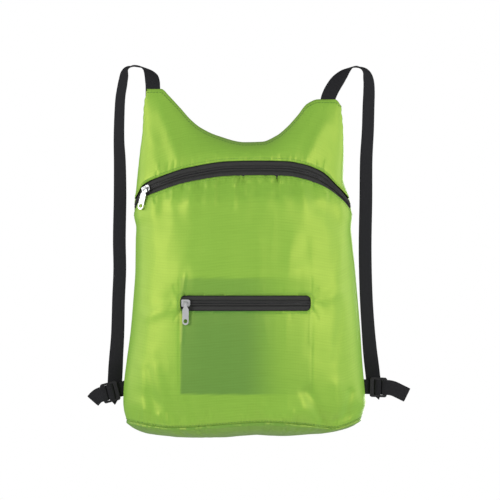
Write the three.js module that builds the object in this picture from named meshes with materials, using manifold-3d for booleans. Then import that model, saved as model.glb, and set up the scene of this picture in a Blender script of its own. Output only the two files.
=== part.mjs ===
// Packable backpack of thin ripstop nylon, hung up by its two webbing shoulder straps.
// Millimetres, +Z up. The front of the bag faces -Y, and +X is to the right of someone who looks at it.
// "Up" shares are of BAG_HEIGHT from the lowest point, "across" shares are of the local half width.
import * as THREE from 'three';
import { mergeVertices } from 'three/addons/utils/BufferGeometryUtils.js';
import Module from 'manifold-3d';

const wasm = await Module();
wasm.setup();

// Driving sizes of the bag
const BAG_WIDTH = 315;
const BAG_HEIGHT = 452;
const FRONT_DEPTH = 70;
const BACK_DEPTH = 42;
const CLOTH = 1.2;
const GUSSET_HEIGHT = 24;

// Gaps between pieces that are sewn edge to edge, or lie on each other
const SEAM_GAP = 0.3;
const CLEARANCE = 0.3;
const LAP_GAP = 0.8;
const COIL_SEAT = 0.5;

// Zips: the black band that shows between two cloth edges, the tape under them and the coil on it
const ZIP_WINDOW = 19;
const TAPE_LAP = 3;
const TAPE = 1;
const COIL_WIDTH = 5.5;
const COIL_PROUD = 0.6;
const ZIP_SINK = 3;
const ZIP_SINK_REACH = 20;

// Chest pocket: its window, its zip and the cloth pouch behind it
const POCKET_LENGTH = 166;
const POCKET_WINDOW = 19.5;
const POCKET_CORNER = 6;
const POCKET_CENTRE_X = 1.5;
const POCKET_ZIP_UP = 175.5;
const POUCH_WIDTH = 177;
const POUCH_ABOVE_ZIP = 33;
const POUCH_BELOW_ZIP = 122;
const POUCH_CLOTH = 1;
const POUCH_DEPTH = 10;
const POUCH_RIM = 5;
const POUCH_SEAT = 1.2;

// Zip sliders and pull tabs
const SLIDER_LENGTH = 11;
const SLIDER_PLATE = 1.2;
const SLIDER_FLANGE = 1.1;
const CROWN_BAR_RADIUS = 0.8;
const CROWN_SPAN = 8;
const CROWN_LEG = 1.4;
const SLIDER_PLAY = 0.6;
const PULL_LENGTH = 28;
const PULL_WIDTH = 8;
const PULL_THICKNESS = 1.2;
const PULL_HOLE_RADIUS = 2.6;
const PULL_HOLE_FROM_END = 5;
const PULL_EYE_WALL = 0.9;

// Webbing and the moulded strap adjusters
const WEBBING_WIDTH = 19;
const WEBBING = 1.5;
const STRAP_SWING = 30;
const STRAP_TONGUE = 11;
const SIDE_TAB_REACH = 7;
const ADJUSTER_THICKNESS = 3;
const ADJUSTER_RAIL = 2.8;
const ADJUSTER_BAR = 5;
const SLOT_PLAY = 0.5;
const STRAP_DROP_IN = 6;
const BEND_RADIUS = 1.3;

// Colours
const LIME = 0x96c846;
const LIME_SHADE = 0x70a045;
const BLACK_TAPE = 0x26262a;
const BLACK_WEBBING = 0x333436;
const BLACK_PLASTIC = 0x151618;
const BRIGHT_METAL = 0xc9ccd0;

// Side seams, as shares of half the bag's width
const SIDE_LINES = [
  { up: 0.0, left: 0.93, right: 0.9 },
  { up: 0.049, left: 0.971, right: 0.955 },
  { up: 0.0835, left: 0.996, right: 0.988 },
  { up: 0.101, left: 1.0, right: 1.0 },
  { up: 0.1525, left: 0.994, right: 0.988 },
  { up: 0.2216, left: 0.971, right: 0.971 },
  { up: 0.308, left: 0.938, right: 0.955 },
  { up: 0.4115, left: 0.913, right: 0.93 },
  { up: 0.4806, left: 0.9, right: 0.913 },
  { up: 0.567, left: 0.897, right: 0.888 },
  { up: 0.6014, left: 0.893, right: 0.88 },
  { up: 0.636, left: 0.911, right: 0.888 },
  { up: 0.6705, left: 0.913, right: 0.88 },
  { up: 0.705, left: 0.897, right: 0.847 },
  { up: 0.74, left: 0.888, right: 0.816 },
  { up: 0.826, left: 0.864, right: 0.822 },
  { up: 0.878, left: 0.847, right: 0.822 },
  { up: 0.9496, left: 0.84, right: 0.808 },
  { up: 1.0, left: 0.816, right: 0.78 },
];

// The top edge: left horn, scooped neck, right horn
const TOP_LINE = [
  { across: -1.0, up: 1.0 },
  { across: -0.848, up: 1.0 },
  { across: -0.76, up: 0.981 },
  { across: -0.64, up: 0.947 },
  { across: -0.531, up: 0.912 },
  { across: -0.434, up: 0.889 },
  { across: -0.268, up: 0.866 },
  { across: 0.004, up: 0.8466 },
  { across: 0.176, up: 0.848 },
  { across: 0.327, up: 0.866 },
  { across: 0.427, up: 0.889 },
  { across: 0.543, up: 0.924 },
  { across: 0.65, up: 0.958 },
  { across: 0.765, up: 0.97 },
  { across: 0.934, up: 0.97 },
  { across: 1.0, up: 0.9496 },
];
const HORN_TOPS = { left: 1.0, right: 0.97 };

// Middle line of the arched zip
const ZIP_LINE = [
  { across: -1.0, up: 0.664 },
  { across: -0.93, up: 0.704 },
  { across: -0.775, up: 0.7266 },
  { across: -0.51, up: 0.7525 },
  { across: -0.13, up: 0.7695 },
  { across: 0.142, up: 0.7712 },
  { across: 0.42, up: 0.7695 },
  { across: 0.6, up: 0.7603 },
  { across: 0.757, up: 0.744 },
  { across: 0.85, up: 0.725 },
  { across: 0.93, up: 0.698 },
  { across: 1.0, up: 0.666 },
];

// How far the stuffed front and back stand out, as shares of their depths
const DEPTH_LINES = [
  { up: 0.0, front: 0.72, back: 0.74 },
  { up: 0.1, front: 0.88, back: 0.9 },
  { up: 0.2, front: 0.97, back: 1.0 },
  { up: 0.32, front: 1.0, back: 1.0 },
  { up: 0.45, front: 0.97, back: 0.97 },
  { up: 0.56, front: 0.89, back: 0.9 },
  { up: 0.66, front: 0.76, back: 0.78 },
  { up: 0.74, front: 0.6, back: 0.64 },
  { up: 0.8, front: 0.48, back: 0.54 },
  { up: 0.88, front: 0.38, back: 0.44 },
  { up: 1.0, front: 0.27, back: 0.32 },
];
const SECTION_FULLNESS = 2.4;

// Stitched seam between the front and the gusset, and the sag of the floor, as shares of its height
const GUSSET_LINE = [
  { across: -1.0, seam: 0.95, floor: 0.1 },
  { across: -0.62, seam: 0.66, floor: 0.0 },
  { across: 0.0, seam: 0.93, floor: 0.14 },
  { across: 0.2, seam: 0.98, floor: 0.2 },
  { across: 0.5, seam: 0.84, floor: 0.1 },
  { across: 0.78, seam: 0.6, floor: 0.22 },
  { across: 1.0, seam: 1.05, floor: 0.3 },
];

// The gusset from its rim to the middle of the floor: how far out and how high each ring lies
const GUSSET_RINGS = [
  { ring: 0.0, out: 1.0, height: 1.0 },
  { ring: 0.2, out: 0.972, height: 0.66 },
  { ring: 0.4, out: 0.9, height: 0.34 },
  { ring: 0.6, out: 0.78, height: 0.12 },
  { ring: 0.8, out: 0.5, height: 0.0 },
  { ring: 1.0, out: 0.0, height: 0.0 },
];

// Folds, dents and ridges: from and to are places on the panel, spread is a share of half the
// bag's width, rise a share of the panel's depth, outwards when positive
const FRONT_FOLDS = [
  { name: 'pocket valley', from: [-0.62, 0.39], to: [0.62, 0.39], spread: 0.11, rise: -0.045 },
  { name: 'ridge over the pocket', from: [-0.45, 0.47], to: [0.5, 0.475], spread: 0.09, rise: 0.03 },
  { name: 'pocket end pucker left', from: [-0.86, 0.35], to: [-0.58, 0.385], spread: 0.05, rise: 0.028 },
  { name: 'pocket end pucker right', from: [0.6, 0.385], to: [0.84, 0.42], spread: 0.05, rise: 0.028 },
  { name: 'left zip end tuck', from: [-0.98, 0.604], to: [-0.62, 0.655], spread: 0.06, rise: -0.05 },
  { name: 'right zip end tuck', from: [0.98, 0.602], to: [0.7, 0.66], spread: 0.06, rise: -0.05 },
  { name: 'upper roll', from: [-0.5, 0.68], to: [0.55, 0.68], spread: 0.12, rise: 0.04 },
  { name: 'lower left fold', from: [-0.86, 0.1], to: [-0.66, 0.05], spread: 0.05, rise: 0.05 },
  { name: 'lower left crease', from: [-0.78, 0.125], to: [-0.55, 0.07], spread: 0.05, rise: -0.045 },
  { name: 'lower right dent', from: [0.44, 0.1], to: [0.66, 0.06], spread: 0.09, rise: -0.09 },
  { name: 'lower right ridge', from: [0.3, 0.06], to: [0.5, 0.13], spread: 0.06, rise: 0.04 },
  { name: 'lower right tuck', from: [0.93, 0.085], to: [0.78, 0.055], spread: 0.05, rise: -0.06 },
  { name: 'yoke drape left', from: [-0.8, 0.93], to: [-0.62, 0.8], spread: 0.07, rise: 0.035 },
  { name: 'yoke drape right', from: [0.8, 0.9], to: [0.62, 0.79], spread: 0.07, rise: 0.035 },
];
const BACK_FOLDS = [
  { name: 'middle rib', from: [0.0, 0.15], to: [0.0, 0.66], spread: 0.3, rise: -0.07 },
  { name: 'left shoulder fold', from: [-0.7, 0.86], to: [-0.35, 0.66], spread: 0.08, rise: 0.08 },
  { name: 'right shoulder fold', from: [0.7, 0.84], to: [0.35, 0.66], spread: 0.08, rise: 0.08 },
  { name: 'lower left crease', from: [-0.85, 0.13], to: [-0.4, 0.08], spread: 0.07, rise: -0.08 },
  { name: 'lower right crease', from: [0.85, 0.13], to: [0.4, 0.09], spread: 0.07, rise: -0.08 },
];

// Soft gathers of the cloth just under the arched zip
const GATHER_PITCH = 27;
const GATHER_RISE = 0.8;
const GATHER_CREST_BELOW = 13;

// Folds die out towards the side seams, the faster the higher this power
const SIDE_FADE = 10;

// Straps, from the horn over the crest and down to the adjuster. Out is a share of half the bag's
// width, back a share of STRAP_SWING; turn is how far the webbing has turned about the vertical:
// 0 face on at the horn, 90 edge on at the crest, 180 face on again at the adjuster
const STRAP_ROUTES = {
  left: [
    { out: 0.756, up: 1.0, back: 0.0, turn: 0 },
    { out: 0.758, up: 1.0187, back: 0.0, turn: 5 },
    { out: 0.77, up: 1.0388, back: 0.08, turn: 26 },
    { out: 0.795, up: 1.0538, back: 0.2, turn: 52 },
    { out: 0.8306, up: 1.063, back: 0.3, turn: 72 },
    { out: 0.876, up: 1.0683, back: 0.42, turn: 90 },
    { out: 0.9256, up: 1.0692, back: 0.5, turn: 104 },
    { out: 0.9686, up: 1.0635, back: 0.56, turn: 116 },
    { out: 0.9934, up: 1.0518, back: 0.6, turn: 125 },
    { out: 1.0058, up: 1.0331, back: 0.63, turn: 130 },
    { out: 1.0165, up: 1.0129, back: 0.65, turn: 133 },
    { out: 1.0314, up: 0.9813, back: 0.67, turn: 134 },
    { out: 1.0405, up: 0.9266, back: 0.68, turn: 136 },
    { out: 1.0438, up: 0.8547, back: 0.68, turn: 139 },
    { out: 1.0372, up: 0.7971, back: 0.66, turn: 146 },
    { out: 1.0339, up: 0.6964, back: 0.6, turn: 152 },
    { out: 1.0388, up: 0.5669, back: 0.5, turn: 153 },
    { out: 1.0345, up: 0.4806, back: 0.44, turn: 153 },
    { out: 1.0438, up: 0.3942, back: 0.38, turn: 153 },
    { out: 1.0504, up: 0.2935, back: 0.3, turn: 156 },
    { out: 1.062, up: 0.2273, back: 0.24, turn: 166 },
  ],
  right: [
    { out: 0.6884, up: 0.9698, back: 0.0, turn: 0 },
    { out: 0.7066, up: 0.9885, back: 0.0, turn: 3 },
    { out: 0.7347, up: 1.0072, back: 0.05, turn: 8 },
    { out: 0.7645, up: 1.023, back: 0.1, turn: 14 },
    { out: 0.7959, up: 1.0374, back: 0.16, turn: 26 },
    { out: 0.8306, up: 1.0518, back: 0.25, turn: 44 },
    { out: 0.8678, up: 1.0624, back: 0.34, turn: 66 },
    { out: 0.9116, up: 1.067, back: 0.44, turn: 90 },
    { out: 0.957, up: 1.0647, back: 0.52, turn: 108 },
    { out: 0.9942, up: 1.0567, back: 0.58, turn: 122 },
    { out: 1.019, up: 1.0446, back: 0.62, turn: 132 },
    { out: 1.0322, up: 1.0273, back: 0.64, turn: 138 },
    { out: 1.0355, up: 0.9986, back: 0.66, turn: 143 },
    { out: 1.0314, up: 0.9554, back: 0.67, turn: 146 },
    { out: 1.0256, up: 0.8835, back: 0.67, turn: 147 },
    { out: 1.0124, up: 0.8029, back: 0.65, turn: 150 },
    { out: 1.0083, up: 0.682, back: 0.58, turn: 153 },
    { out: 1.0008, up: 0.5381, back: 0.47, turn: 153 },
    { out: 1.0083, up: 0.4086, back: 0.38, turn: 153 },
    { out: 1.0231, up: 0.3165, back: 0.3, turn: 156 },
    { out: 1.0397, up: 0.2446, back: 0.24, turn: 166 },
  ],
};

// Adjusters: height on the side seam, tilt down and outwards, and the loop of strap beyond them
const ADJUSTERS = {
  left: { up: 0.14, tilt: 15, tailTurn: 34, tailLength: 14, endTurn: 45, freeEnd: 16 },
  right: { up: 0.145, tilt: 2, tailTurn: 24, tailLength: 27, endTurn: 50, freeEnd: 14 },
};
const HANDS = { left: -1, right: 1 };

// A smooth curve through the rows of a table, which never swings past them
function curveThrough(rows, input, output) {
  const x = rows.map((row) => row[input]);
  const y = rows.map((row) => row[output]);
  const last = x.length - 1;
  const rate = (i) => (y[i + 1] - y[i]) / (x[i + 1] - x[i]);
  const slopes = x.map((_, i) => {
    if (i === 0) return rate(0);
    if (i === last) return rate(last - 1);
    const before = rate(i - 1);
    const after = rate(i);
    return before * after > 0 ? (2 * before * after) / (before + after) : 0;
  });
  return (value) => {
    const at = Math.min(Math.max(value, x[0]), x[last]);
    let i = 0;
    while (i < last - 1 && at > x[i + 1]) i += 1;
    const span = x[i + 1] - x[i];
    const t = (at - x[i]) / span;
    const rest = 1 - t;
    return (
      rest * rest * (1 + 2 * t) * y[i] +
      t * t * (3 - 2 * t) * y[i + 1] +
      span * t * rest * (rest * slopes[i] - t * slopes[i + 1])
    );
  };
}

const leftLine = curveThrough(SIDE_LINES, 'up', 'left');
const rightLine = curveThrough(SIDE_LINES, 'up', 'right');
const topLine = curveThrough(TOP_LINE, 'across', 'up');
const zipLine = curveThrough(ZIP_LINE, 'across', 'up');
const frontLine = curveThrough(DEPTH_LINES, 'up', 'front');
const backLine = curveThrough(DEPTH_LINES, 'up', 'back');
const gussetSeam = curveThrough(GUSSET_LINE, 'across', 'seam');
const gussetFloor = curveThrough(GUSSET_LINE, 'across', 'floor');
const ringOut = curveThrough(GUSSET_RINGS, 'ring', 'out');
const ringHeight = curveThrough(GUSSET_RINGS, 'ring', 'height');

const FRONT = -1;
const BACK = 1;
const HALF_WIDTH = BAG_WIDTH / 2;
const smooth = THREE.MathUtils.smoothstep;
const radians = THREE.MathUtils.degToRad;

// Half the width at a height, on the left or right of the middle
function halfWidthAt(z, across) {
  const up = z / BAG_HEIGHT;
  return HALF_WIDTH * (across < 0 ? leftLine(up) : rightLine(up));
}

const zipHeight = (across) => BAG_HEIGHT * zipLine(across);
const topHeight = (across) => BAG_HEIGHT * topLine(across);

// The two panels part at the tips of the horns, to take the webbing between them. The slit begins
// and is fully open these many tongue lengths under the tip
const SLIT_BEGINS = 3;
const SLIT_OPEN = 1.7;
function seamHalf(across, z) {
  const tip = BAG_HEIGHT * (across < 0 ? HORN_TOPS.left : HORN_TOPS.right);
  const open = smooth(z, tip - SLIT_BEGINS * STRAP_TONGUE, tip - SLIT_OPEN * STRAP_TONGUE);
  return SEAM_GAP / 2 + open * (WEBBING / 2 + CLEARANCE - SEAM_GAP / 2);
}

// How far one fold lifts the cloth at a place, in shares of the panel's depth
function foldRise(fold, across, up) {
  const [fromAcross, fromUp] = fold.from;
  const [toAcross, toUp] = fold.to;
  const scaleUp = BAG_HEIGHT / HALF_WIDTH;
  const alongX = toAcross - fromAcross;
  const alongZ = (toUp - fromUp) * scaleUp;
  const x = across - fromAcross;
  const z = (up - fromUp) * scaleUp;
  const lengthSquared = alongX * alongX + alongZ * alongZ;
  const t = (x * alongX + z * alongZ) / lengthSquared;
  const within = Math.min(Math.max(t, 0), 1);
  const offX = x - within * alongX;
  const offZ = z - within * alongZ;
  const distance = Math.hypot(offX, offZ) / fold.spread;
  return fold.rise * Math.exp(-distance * distance);
}

// Everything that lifts or sinks the cloth from its stuffed shape, in millimetres
function relief(side, across, z) {
  const up = z / BAG_HEIGHT;
  const folds = side === FRONT ? FRONT_FOLDS : BACK_FOLDS;
  const depth = side === FRONT ? FRONT_DEPTH : BACK_DEPTH;
  let rise = 0;
  for (const fold of folds) rise += depth * foldRise(fold, across, up);
  if (side === FRONT) {
    const fromZip = (z - zipHeight(across)) / ZIP_SINK_REACH;
    rise -= ZIP_SINK * Math.exp(-fromZip * fromZip);
    const below = Math.max(zipHeight(across) - ZIP_WINDOW / 2 - z, 0) / GATHER_CREST_BELOW;
    const wave = Math.sin((2 * Math.PI * across * HALF_WIDTH) / GATHER_PITCH);
    rise += GATHER_RISE * wave * below * Math.exp(1 - below);
  }
  const sideFade = 1 - Math.abs(across) ** SIDE_FADE;
  return rise * sideFade;
}

// Stuffed depth of one panel behind or in front of the side seams
function depthAt(side, across, z) {
  const up = z / BAG_HEIGHT;
  const depth = side === FRONT ? FRONT_DEPTH * frontLine(up) : BACK_DEPTH * backLine(up);
  const section = Math.max(1 - Math.abs(across) ** SECTION_FULLNESS, 0) ** (1 / SECTION_FULLNESS);
  const start = zipHeight(across) + ZIP_WINDOW / 2;
  const closing = Math.min(Math.max((z - start) / (topHeight(across) - start), 0), 1);
  const close = Math.sqrt(1 - closing * closing);
  return Math.max(depth * section + relief(side, across, z), 0) * close;
}

// A point of the cloth's outer face. Turn runs from -1 at the left seam to 1 at the right seam
const acrossOf = (turn) => Math.sin((turn * Math.PI) / 2);
function outerPoint(side, turn, z, opening = seamHalf(acrossOf(turn), z)) {
  const across = acrossOf(turn);
  const y = side * (opening + depthAt(side, across, z));
  return new THREE.Vector3(across * halfWidthAt(z, across), y, z);
}

// The outward direction of the cloth at a place
function outwardAt(side, turn, z) {
  const dTurn = 0.004;
  const dZ = 0.5;
  const top = topHeight(acrossOf(turn));
  const a = outerPoint(side, Math.max(turn - dTurn, -1), z);
  const b = outerPoint(side, Math.min(turn + dTurn, 1), z);
  const c = outerPoint(side, turn, Math.min(z, top) - dZ);
  const d = outerPoint(side, turn, Math.min(z + dZ, top));
  const along = b.sub(a);
  const upwards = d.sub(c);
  return along.cross(upwards).normalize().multiplyScalar(-side);
}

// A point under the cloth's outer face, or over it where the inset is negative. Edge faces that
// lie in a seam stay in it, and in the thin tips the cloth stops at the seam's plane
function skinPoint(side, turn, z, inset, seam = {}) {
  const point = outerPoint(side, turn, z);
  const outward = outwardAt(side, turn, z);
  if (Math.abs(turn) > 0.9999 || seam.top) outward.y = 0;
  if (seam.level) outward.z = 0;
  point.addScaledVector(outward.normalize(), -inset);
  point.y = side * Math.max(side * point.y, seamHalf(acrossOf(turn), z));
  return point;
}

// The same, at a place given by its distance across in millimetres, on the front panel
function frontPoint(x, z, inset) {
  const across = x / halfWidthAt(z, x);
  return skinPoint(FRONT, (2 / Math.PI) * Math.asin(across), z, inset);
}

// Collects triangles into one closed body with its faces pointing out. Corners that fall into the
// same small cell are one vertex
const CELLS_PER_MILLIMETRE = 2000;
class Shell {
  constructor() {
    this.positions = [];
    this.triangles = [];
    this.known = new Map();
  }

  vertex(point) {
    const key = point.toArray().map((value) => Math.round(value * CELLS_PER_MILLIMETRE)).join();
    if (!this.known.has(key)) {
      this.known.set(key, this.positions.length / 3);
      this.positions.push(...point.toArray());
    }
    return this.known.get(key);
  }

  triangle(a, b, c) {
    const corners = [a, b, c].map((point) => this.vertex(point));
    if (new Set(corners).size === 3) this.triangles.push(...corners);
  }

  quad(a, b, c, d) {
    this.triangle(a, b, c);
    this.triangle(a, c, d);
  }

  geometry() {
    let volume = 0;
    const corner = (i) => new THREE.Vector3().fromArray(this.positions, 3 * this.triangles[i]);
    for (let i = 0; i < this.triangles.length; i += 3) {
      volume += corner(i).dot(corner(i + 1).cross(corner(i + 2)));
    }
    if (volume < 0) this.triangles.reverse();
    const geometry = new THREE.BufferGeometry();
    geometry.setAttribute('position', new THREE.Float32BufferAttribute(this.positions, 3));
    geometry.setIndex(this.triangles);
    return geometry;
  }
}

// A sheet with a wall: two grids of points, the outer and the inner face, closed round its edges
function sheet(outer, inner, isLoop = false) {
  const shell = new Shell();
  const columns = outer.length;
  const lastRow = outer[0].length - 1;
  const steps = isLoop ? columns : columns - 1;
  for (let i = 0; i < steps; i += 1) {
    const k = (i + 1) % columns;
    for (let j = 0; j < lastRow; j += 1) {
      shell.quad(outer[i][j], outer[k][j], outer[k][j + 1], outer[i][j + 1]);
      shell.quad(inner[i][j], inner[i][j + 1], inner[k][j + 1], inner[k][j]);
    }
    shell.quad(outer[k][0], outer[i][0], inner[i][0], inner[k][0]);
    shell.quad(outer[i][lastRow], outer[k][lastRow], inner[k][lastRow], inner[i][lastRow]);
  }
  if (!isLoop) {
    const end = columns - 1;
    for (let j = 0; j < lastRow; j += 1) {
      shell.quad(outer[0][j], outer[0][j + 1], inner[0][j + 1], inner[0][j]);
      shell.quad(outer[end][j + 1], outer[end][j], inner[end][j], inner[end][j + 1]);
    }
  }
  return shell.geometry();
}

// A flat band swept through stations, each with its two edge points and its thickness direction
function ribbon(stations, thickness) {
  const shell = new Shell();
  const half = thickness / 2;
  const rings = stations.map(({ p, q, n }) => [
    p.clone().addScaledVector(n, half),
    q.clone().addScaledVector(n, half),
    q.clone().addScaledVector(n, -half),
    p.clone().addScaledVector(n, -half),
  ]);
  for (let i = 0; i + 1 < rings.length; i += 1) {
    for (let j = 0; j < 4; j += 1) {
      const k = (j + 1) % 4;
      shell.quad(rings[i][j], rings[i][k], rings[i + 1][k], rings[i + 1][j]);
    }
  }
  const first = rings[0];
  const last = rings[rings.length - 1];
  shell.quad(first[3], first[2], first[1], first[0]);
  shell.quad(last[0], last[1], last[2], last[3]);
  return shell.geometry();
}

const MERGE_DISTANCE = 1e-3;
function solidOf(geometry) {
  const bare = geometry.clone();
  bare.deleteAttribute('normal');
  bare.deleteAttribute('uv');
  const merged = mergeVertices(bare, MERGE_DISTANCE);
  const vertProperties = new Float32Array(merged.attributes.position.array);
  const triVerts = new Uint32Array(merged.index.array);
  return new wasm.Manifold(new wasm.Mesh({ numProp: 3, vertProperties, triVerts }));
}

function geometryOf(solid) {
  const mesh = solid.getMesh();
  const geometry = new THREE.BufferGeometry();
  geometry.setAttribute('position', new THREE.BufferAttribute(mesh.vertProperties, 3));
  geometry.setIndex(new THREE.BufferAttribute(mesh.triVerts, 1));
  return geometry;
}

const evenly = (count) => Array.from({ length: count + 1 }, (_, i) => i / count);
const mix = THREE.MathUtils.lerp;

const group = new THREE.Group();
const bag = new THREE.Group();
group.add(bag);

function addMesh(name, geometry, color, roughness, metalness = 0) {
  const material = new THREE.MeshStandardMaterial({ color, roughness, metalness });
  const mesh = new THREE.Mesh(geometry, material);
  mesh.name = name;
  bag.add(mesh);
  return mesh;
}

// Cloth panels
const CLOTH_ROUGHNESS = 0.42;
const FRONT_COLUMNS = 34;
const BACK_COLUMNS = 24;
const FRONT_ROWS = 18;
const YOKE_ROWS = 7;
const BACK_ROWS = 11;
const BACK_TOP_ROWS = 6;
const GUSSET_RING_COUNT = 5;
const FLOOR_SPREAD = 1.3;

const seamHeight = (side, across) => {
  const level = side === FRONT ? gussetSeam(across) : mix(gussetSeam(-1), gussetSeam(1), (across + 1) / 2);
  return GUSSET_HEIGHT * level;
};

// One panel between a lower and an upper line. Where it closes to the top edge, its rows crowd
// towards the edge so that they follow the round of the cloth
function panel(side, columns, rowHeights, edges) {
  const face = (inset) =>
    evenly(columns).map((share) => {
      const turn = mix(-1, 1, share);
      const heights = rowHeights(acrossOf(turn));
      const last = heights.length - 1;
      return heights.map((z, j) => {
        const seam = { level: edges.level && j === 0, top: edges.top && j === last };
        return skinPoint(side, turn, z, inset, seam);
      });
    });
  return sheet(face(0), face(CLOTH));
}

const lowerRows = (side, count, upperEdge) => (across) => {
  const low = seamHeight(side, across) + SEAM_GAP / 2;
  return evenly(count).map((share) => mix(low, upperEdge(across), share));
};
const closingRows = (count, lowerEdge) => (across) => {
  const low = lowerEdge(across);
  return evenly(count).map((share) => mix(low, topHeight(across), Math.sin((share * Math.PI) / 2)));
};

const zipLower = (across) => zipHeight(across) - ZIP_WINDOW / 2;
const zipUpper = (across) => zipHeight(across) + ZIP_WINDOW / 2;

function pocketWindow() {
  const shape = new THREE.Shape();
  const halfLength = POCKET_LENGTH / 2;
  const halfHeight = POCKET_WINDOW / 2;
  const flat = halfLength - POCKET_CORNER;
  const side = halfHeight - POCKET_CORNER;
  const quarter = Math.PI / 2;
  shape.absarc(flat, side, POCKET_CORNER, 0, quarter);
  shape.absarc(-flat, side, POCKET_CORNER, quarter, 2 * quarter);
  shape.absarc(-flat, -side, POCKET_CORNER, 2 * quarter, 3 * quarter);
  shape.absarc(flat, -side, POCKET_CORNER, 3 * quarter, 4 * quarter);
  const cutter = new THREE.ExtrudeGeometry(shape, {
    depth: 2 * FRONT_DEPTH,
    bevelEnabled: false,
    curveSegments: 4,
  });
  cutter.rotateX(Math.PI / 2);
  cutter.translate(POCKET_CENTRE_X, 0, POCKET_ZIP_UP);
  return solidOf(cutter);
}

const plainFront = panel(FRONT, FRONT_COLUMNS, lowerRows(FRONT, FRONT_ROWS, zipLower), { level: true });
const frontGeometry = geometryOf(solidOf(plainFront).subtract(pocketWindow()));
addMesh('front_panel', frontGeometry, LIME, CLOTH_ROUGHNESS);

const yokeGeometry = panel(FRONT, FRONT_COLUMNS, closingRows(YOKE_ROWS, zipUpper), { top: true });
addMesh('yoke_panel', yokeGeometry, LIME, CLOTH_ROUGHNESS);

const backRows = (across) => {
  const lower = lowerRows(BACK, BACK_ROWS, zipUpper)(across);
  const upper = closingRows(BACK_TOP_ROWS, zipUpper)(across);
  return [...lower, ...upper.slice(1)];
};
const backGeometry = panel(BACK, BACK_COLUMNS, backRows, { level: true, top: true });
addMesh('back_panel', backGeometry, LIME, CLOTH_ROUGHNESS);

// The gusset is a shallow tray whose rim follows the lower edges of the panels
function gussetPoint(loop, ring) {
  const isFront = loop <= 1;
  const side = isFront ? FRONT : BACK;
  const turn = isFront ? 2 * loop - 1 : 3 - 2 * loop;
  const across = acrossOf(turn);
  const rimHeight = seamHeight(side, across) - SEAM_GAP / 2;
  const rim = outerPoint(side, turn, rimHeight, 0);
  const out = ringOut(ring);
  const floor = GUSSET_HEIGHT * mix(gussetFloor(0), gussetFloor(across), Math.min(out * FLOOR_SPREAD, 1));
  rim.multiplyScalar(out);
  rim.z = mix(floor, rimHeight, ringHeight(ring));
  return rim;
}

function gussetInner(loop, ring) {
  const step = 0.004;
  const before = Math.max(ring - step, 0);
  const after = Math.min(ring + step, 1 - step);
  const along = gussetPoint((loop + step) % 2, ring).sub(gussetPoint((loop + 2 - step) % 2, ring));
  const inwards = gussetPoint(loop, after).sub(gussetPoint(loop, before));
  const outward = inwards.cross(along).normalize();
  if (ring === 0) outward.z = 0;
  if (ring === 1) outward.set(0, 0, -1);
  return gussetPoint(loop, ring).addScaledVector(outward.normalize(), -CLOTH);
}

const gussetLoops = evenly(2 * BACK_COLUMNS).slice(0, -1).map((share) => 2 * share);
const gussetRings = evenly(GUSSET_RING_COUNT);
const gussetGeometry = sheet(
  gussetLoops.map((loop) => gussetRings.map((ring) => gussetPoint(loop, ring))),
  gussetLoops.map((loop) => gussetRings.map((ring) => gussetInner(loop, ring))),
  true,
);
addMesh('bottom_panel', gussetGeometry, LIME, CLOTH_ROUGHNESS);

// Zip tapes lie under the cloth edges, and the closed coil stands on the middle of the tape
const TAPE_INSET = CLOTH + LAP_GAP;
const COIL_INSET = TAPE_INSET - COIL_SEAT;
const TAPE_ROUGHNESS = 0.8;
const COIL_ROUGHNESS = 0.5;

// A band along a zip: rows holds how far each line lies from the zip's middle and its two insets
function zipBand(rows, pointAt) {
  const face = (which) =>
    evenly(FRONT_COLUMNS).map((share) => rows.map((row) => pointAt(share, row.off, row[which])));
  return sheet(face('outer'), face('inner'));
}

const tapeRows = (halfBand) => [
  { off: -halfBand, outer: TAPE_INSET, inner: TAPE_INSET + TAPE },
  { off: 0, outer: TAPE_INSET, inner: TAPE_INSET + TAPE },
  { off: halfBand, outer: TAPE_INSET, inner: TAPE_INSET + TAPE },
];
const coilRows = [
  { off: -COIL_WIDTH / 2, outer: 0, inner: COIL_INSET },
  { off: 0, outer: -COIL_PROUD, inner: COIL_INSET },
  { off: COIL_WIDTH / 2, outer: 0, inner: COIL_INSET },
];

const mainZipPoint = (share, off, inset) => {
  const turn = mix(-1, 1, share);
  return skinPoint(FRONT, turn, zipHeight(acrossOf(turn)) + off, inset);
};
const pocketZipPoint = (halfLength) => (share, off, inset) =>
  frontPoint(POCKET_CENTRE_X + mix(-halfLength, halfLength, share), POCKET_ZIP_UP + off, inset);

const mainTape = zipBand(tapeRows(ZIP_WINDOW / 2 + TAPE_LAP), mainZipPoint);
addMesh('main_zip_tape', mainTape, BLACK_TAPE, TAPE_ROUGHNESS);
addMesh('main_zip_coil', zipBand(coilRows, mainZipPoint), BLACK_TAPE, COIL_ROUGHNESS);

const pocketTapeHalf = POCKET_LENGTH / 2 + TAPE_LAP;
const pocketTape = zipBand(tapeRows(POCKET_WINDOW / 2 + TAPE_LAP), pocketZipPoint(pocketTapeHalf));
addMesh('pocket_zip_tape', pocketTape, BLACK_TAPE, TAPE_ROUGHNESS);
const pocketCoilHalf = POCKET_LENGTH / 2 - 2 * CLEARANCE;
const pocketCoil = zipBand(coilRows, pocketZipPoint(pocketCoilHalf));
addMesh('pocket_zip_coil', pocketCoil, BLACK_TAPE, COIL_ROUGHNESS);

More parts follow.
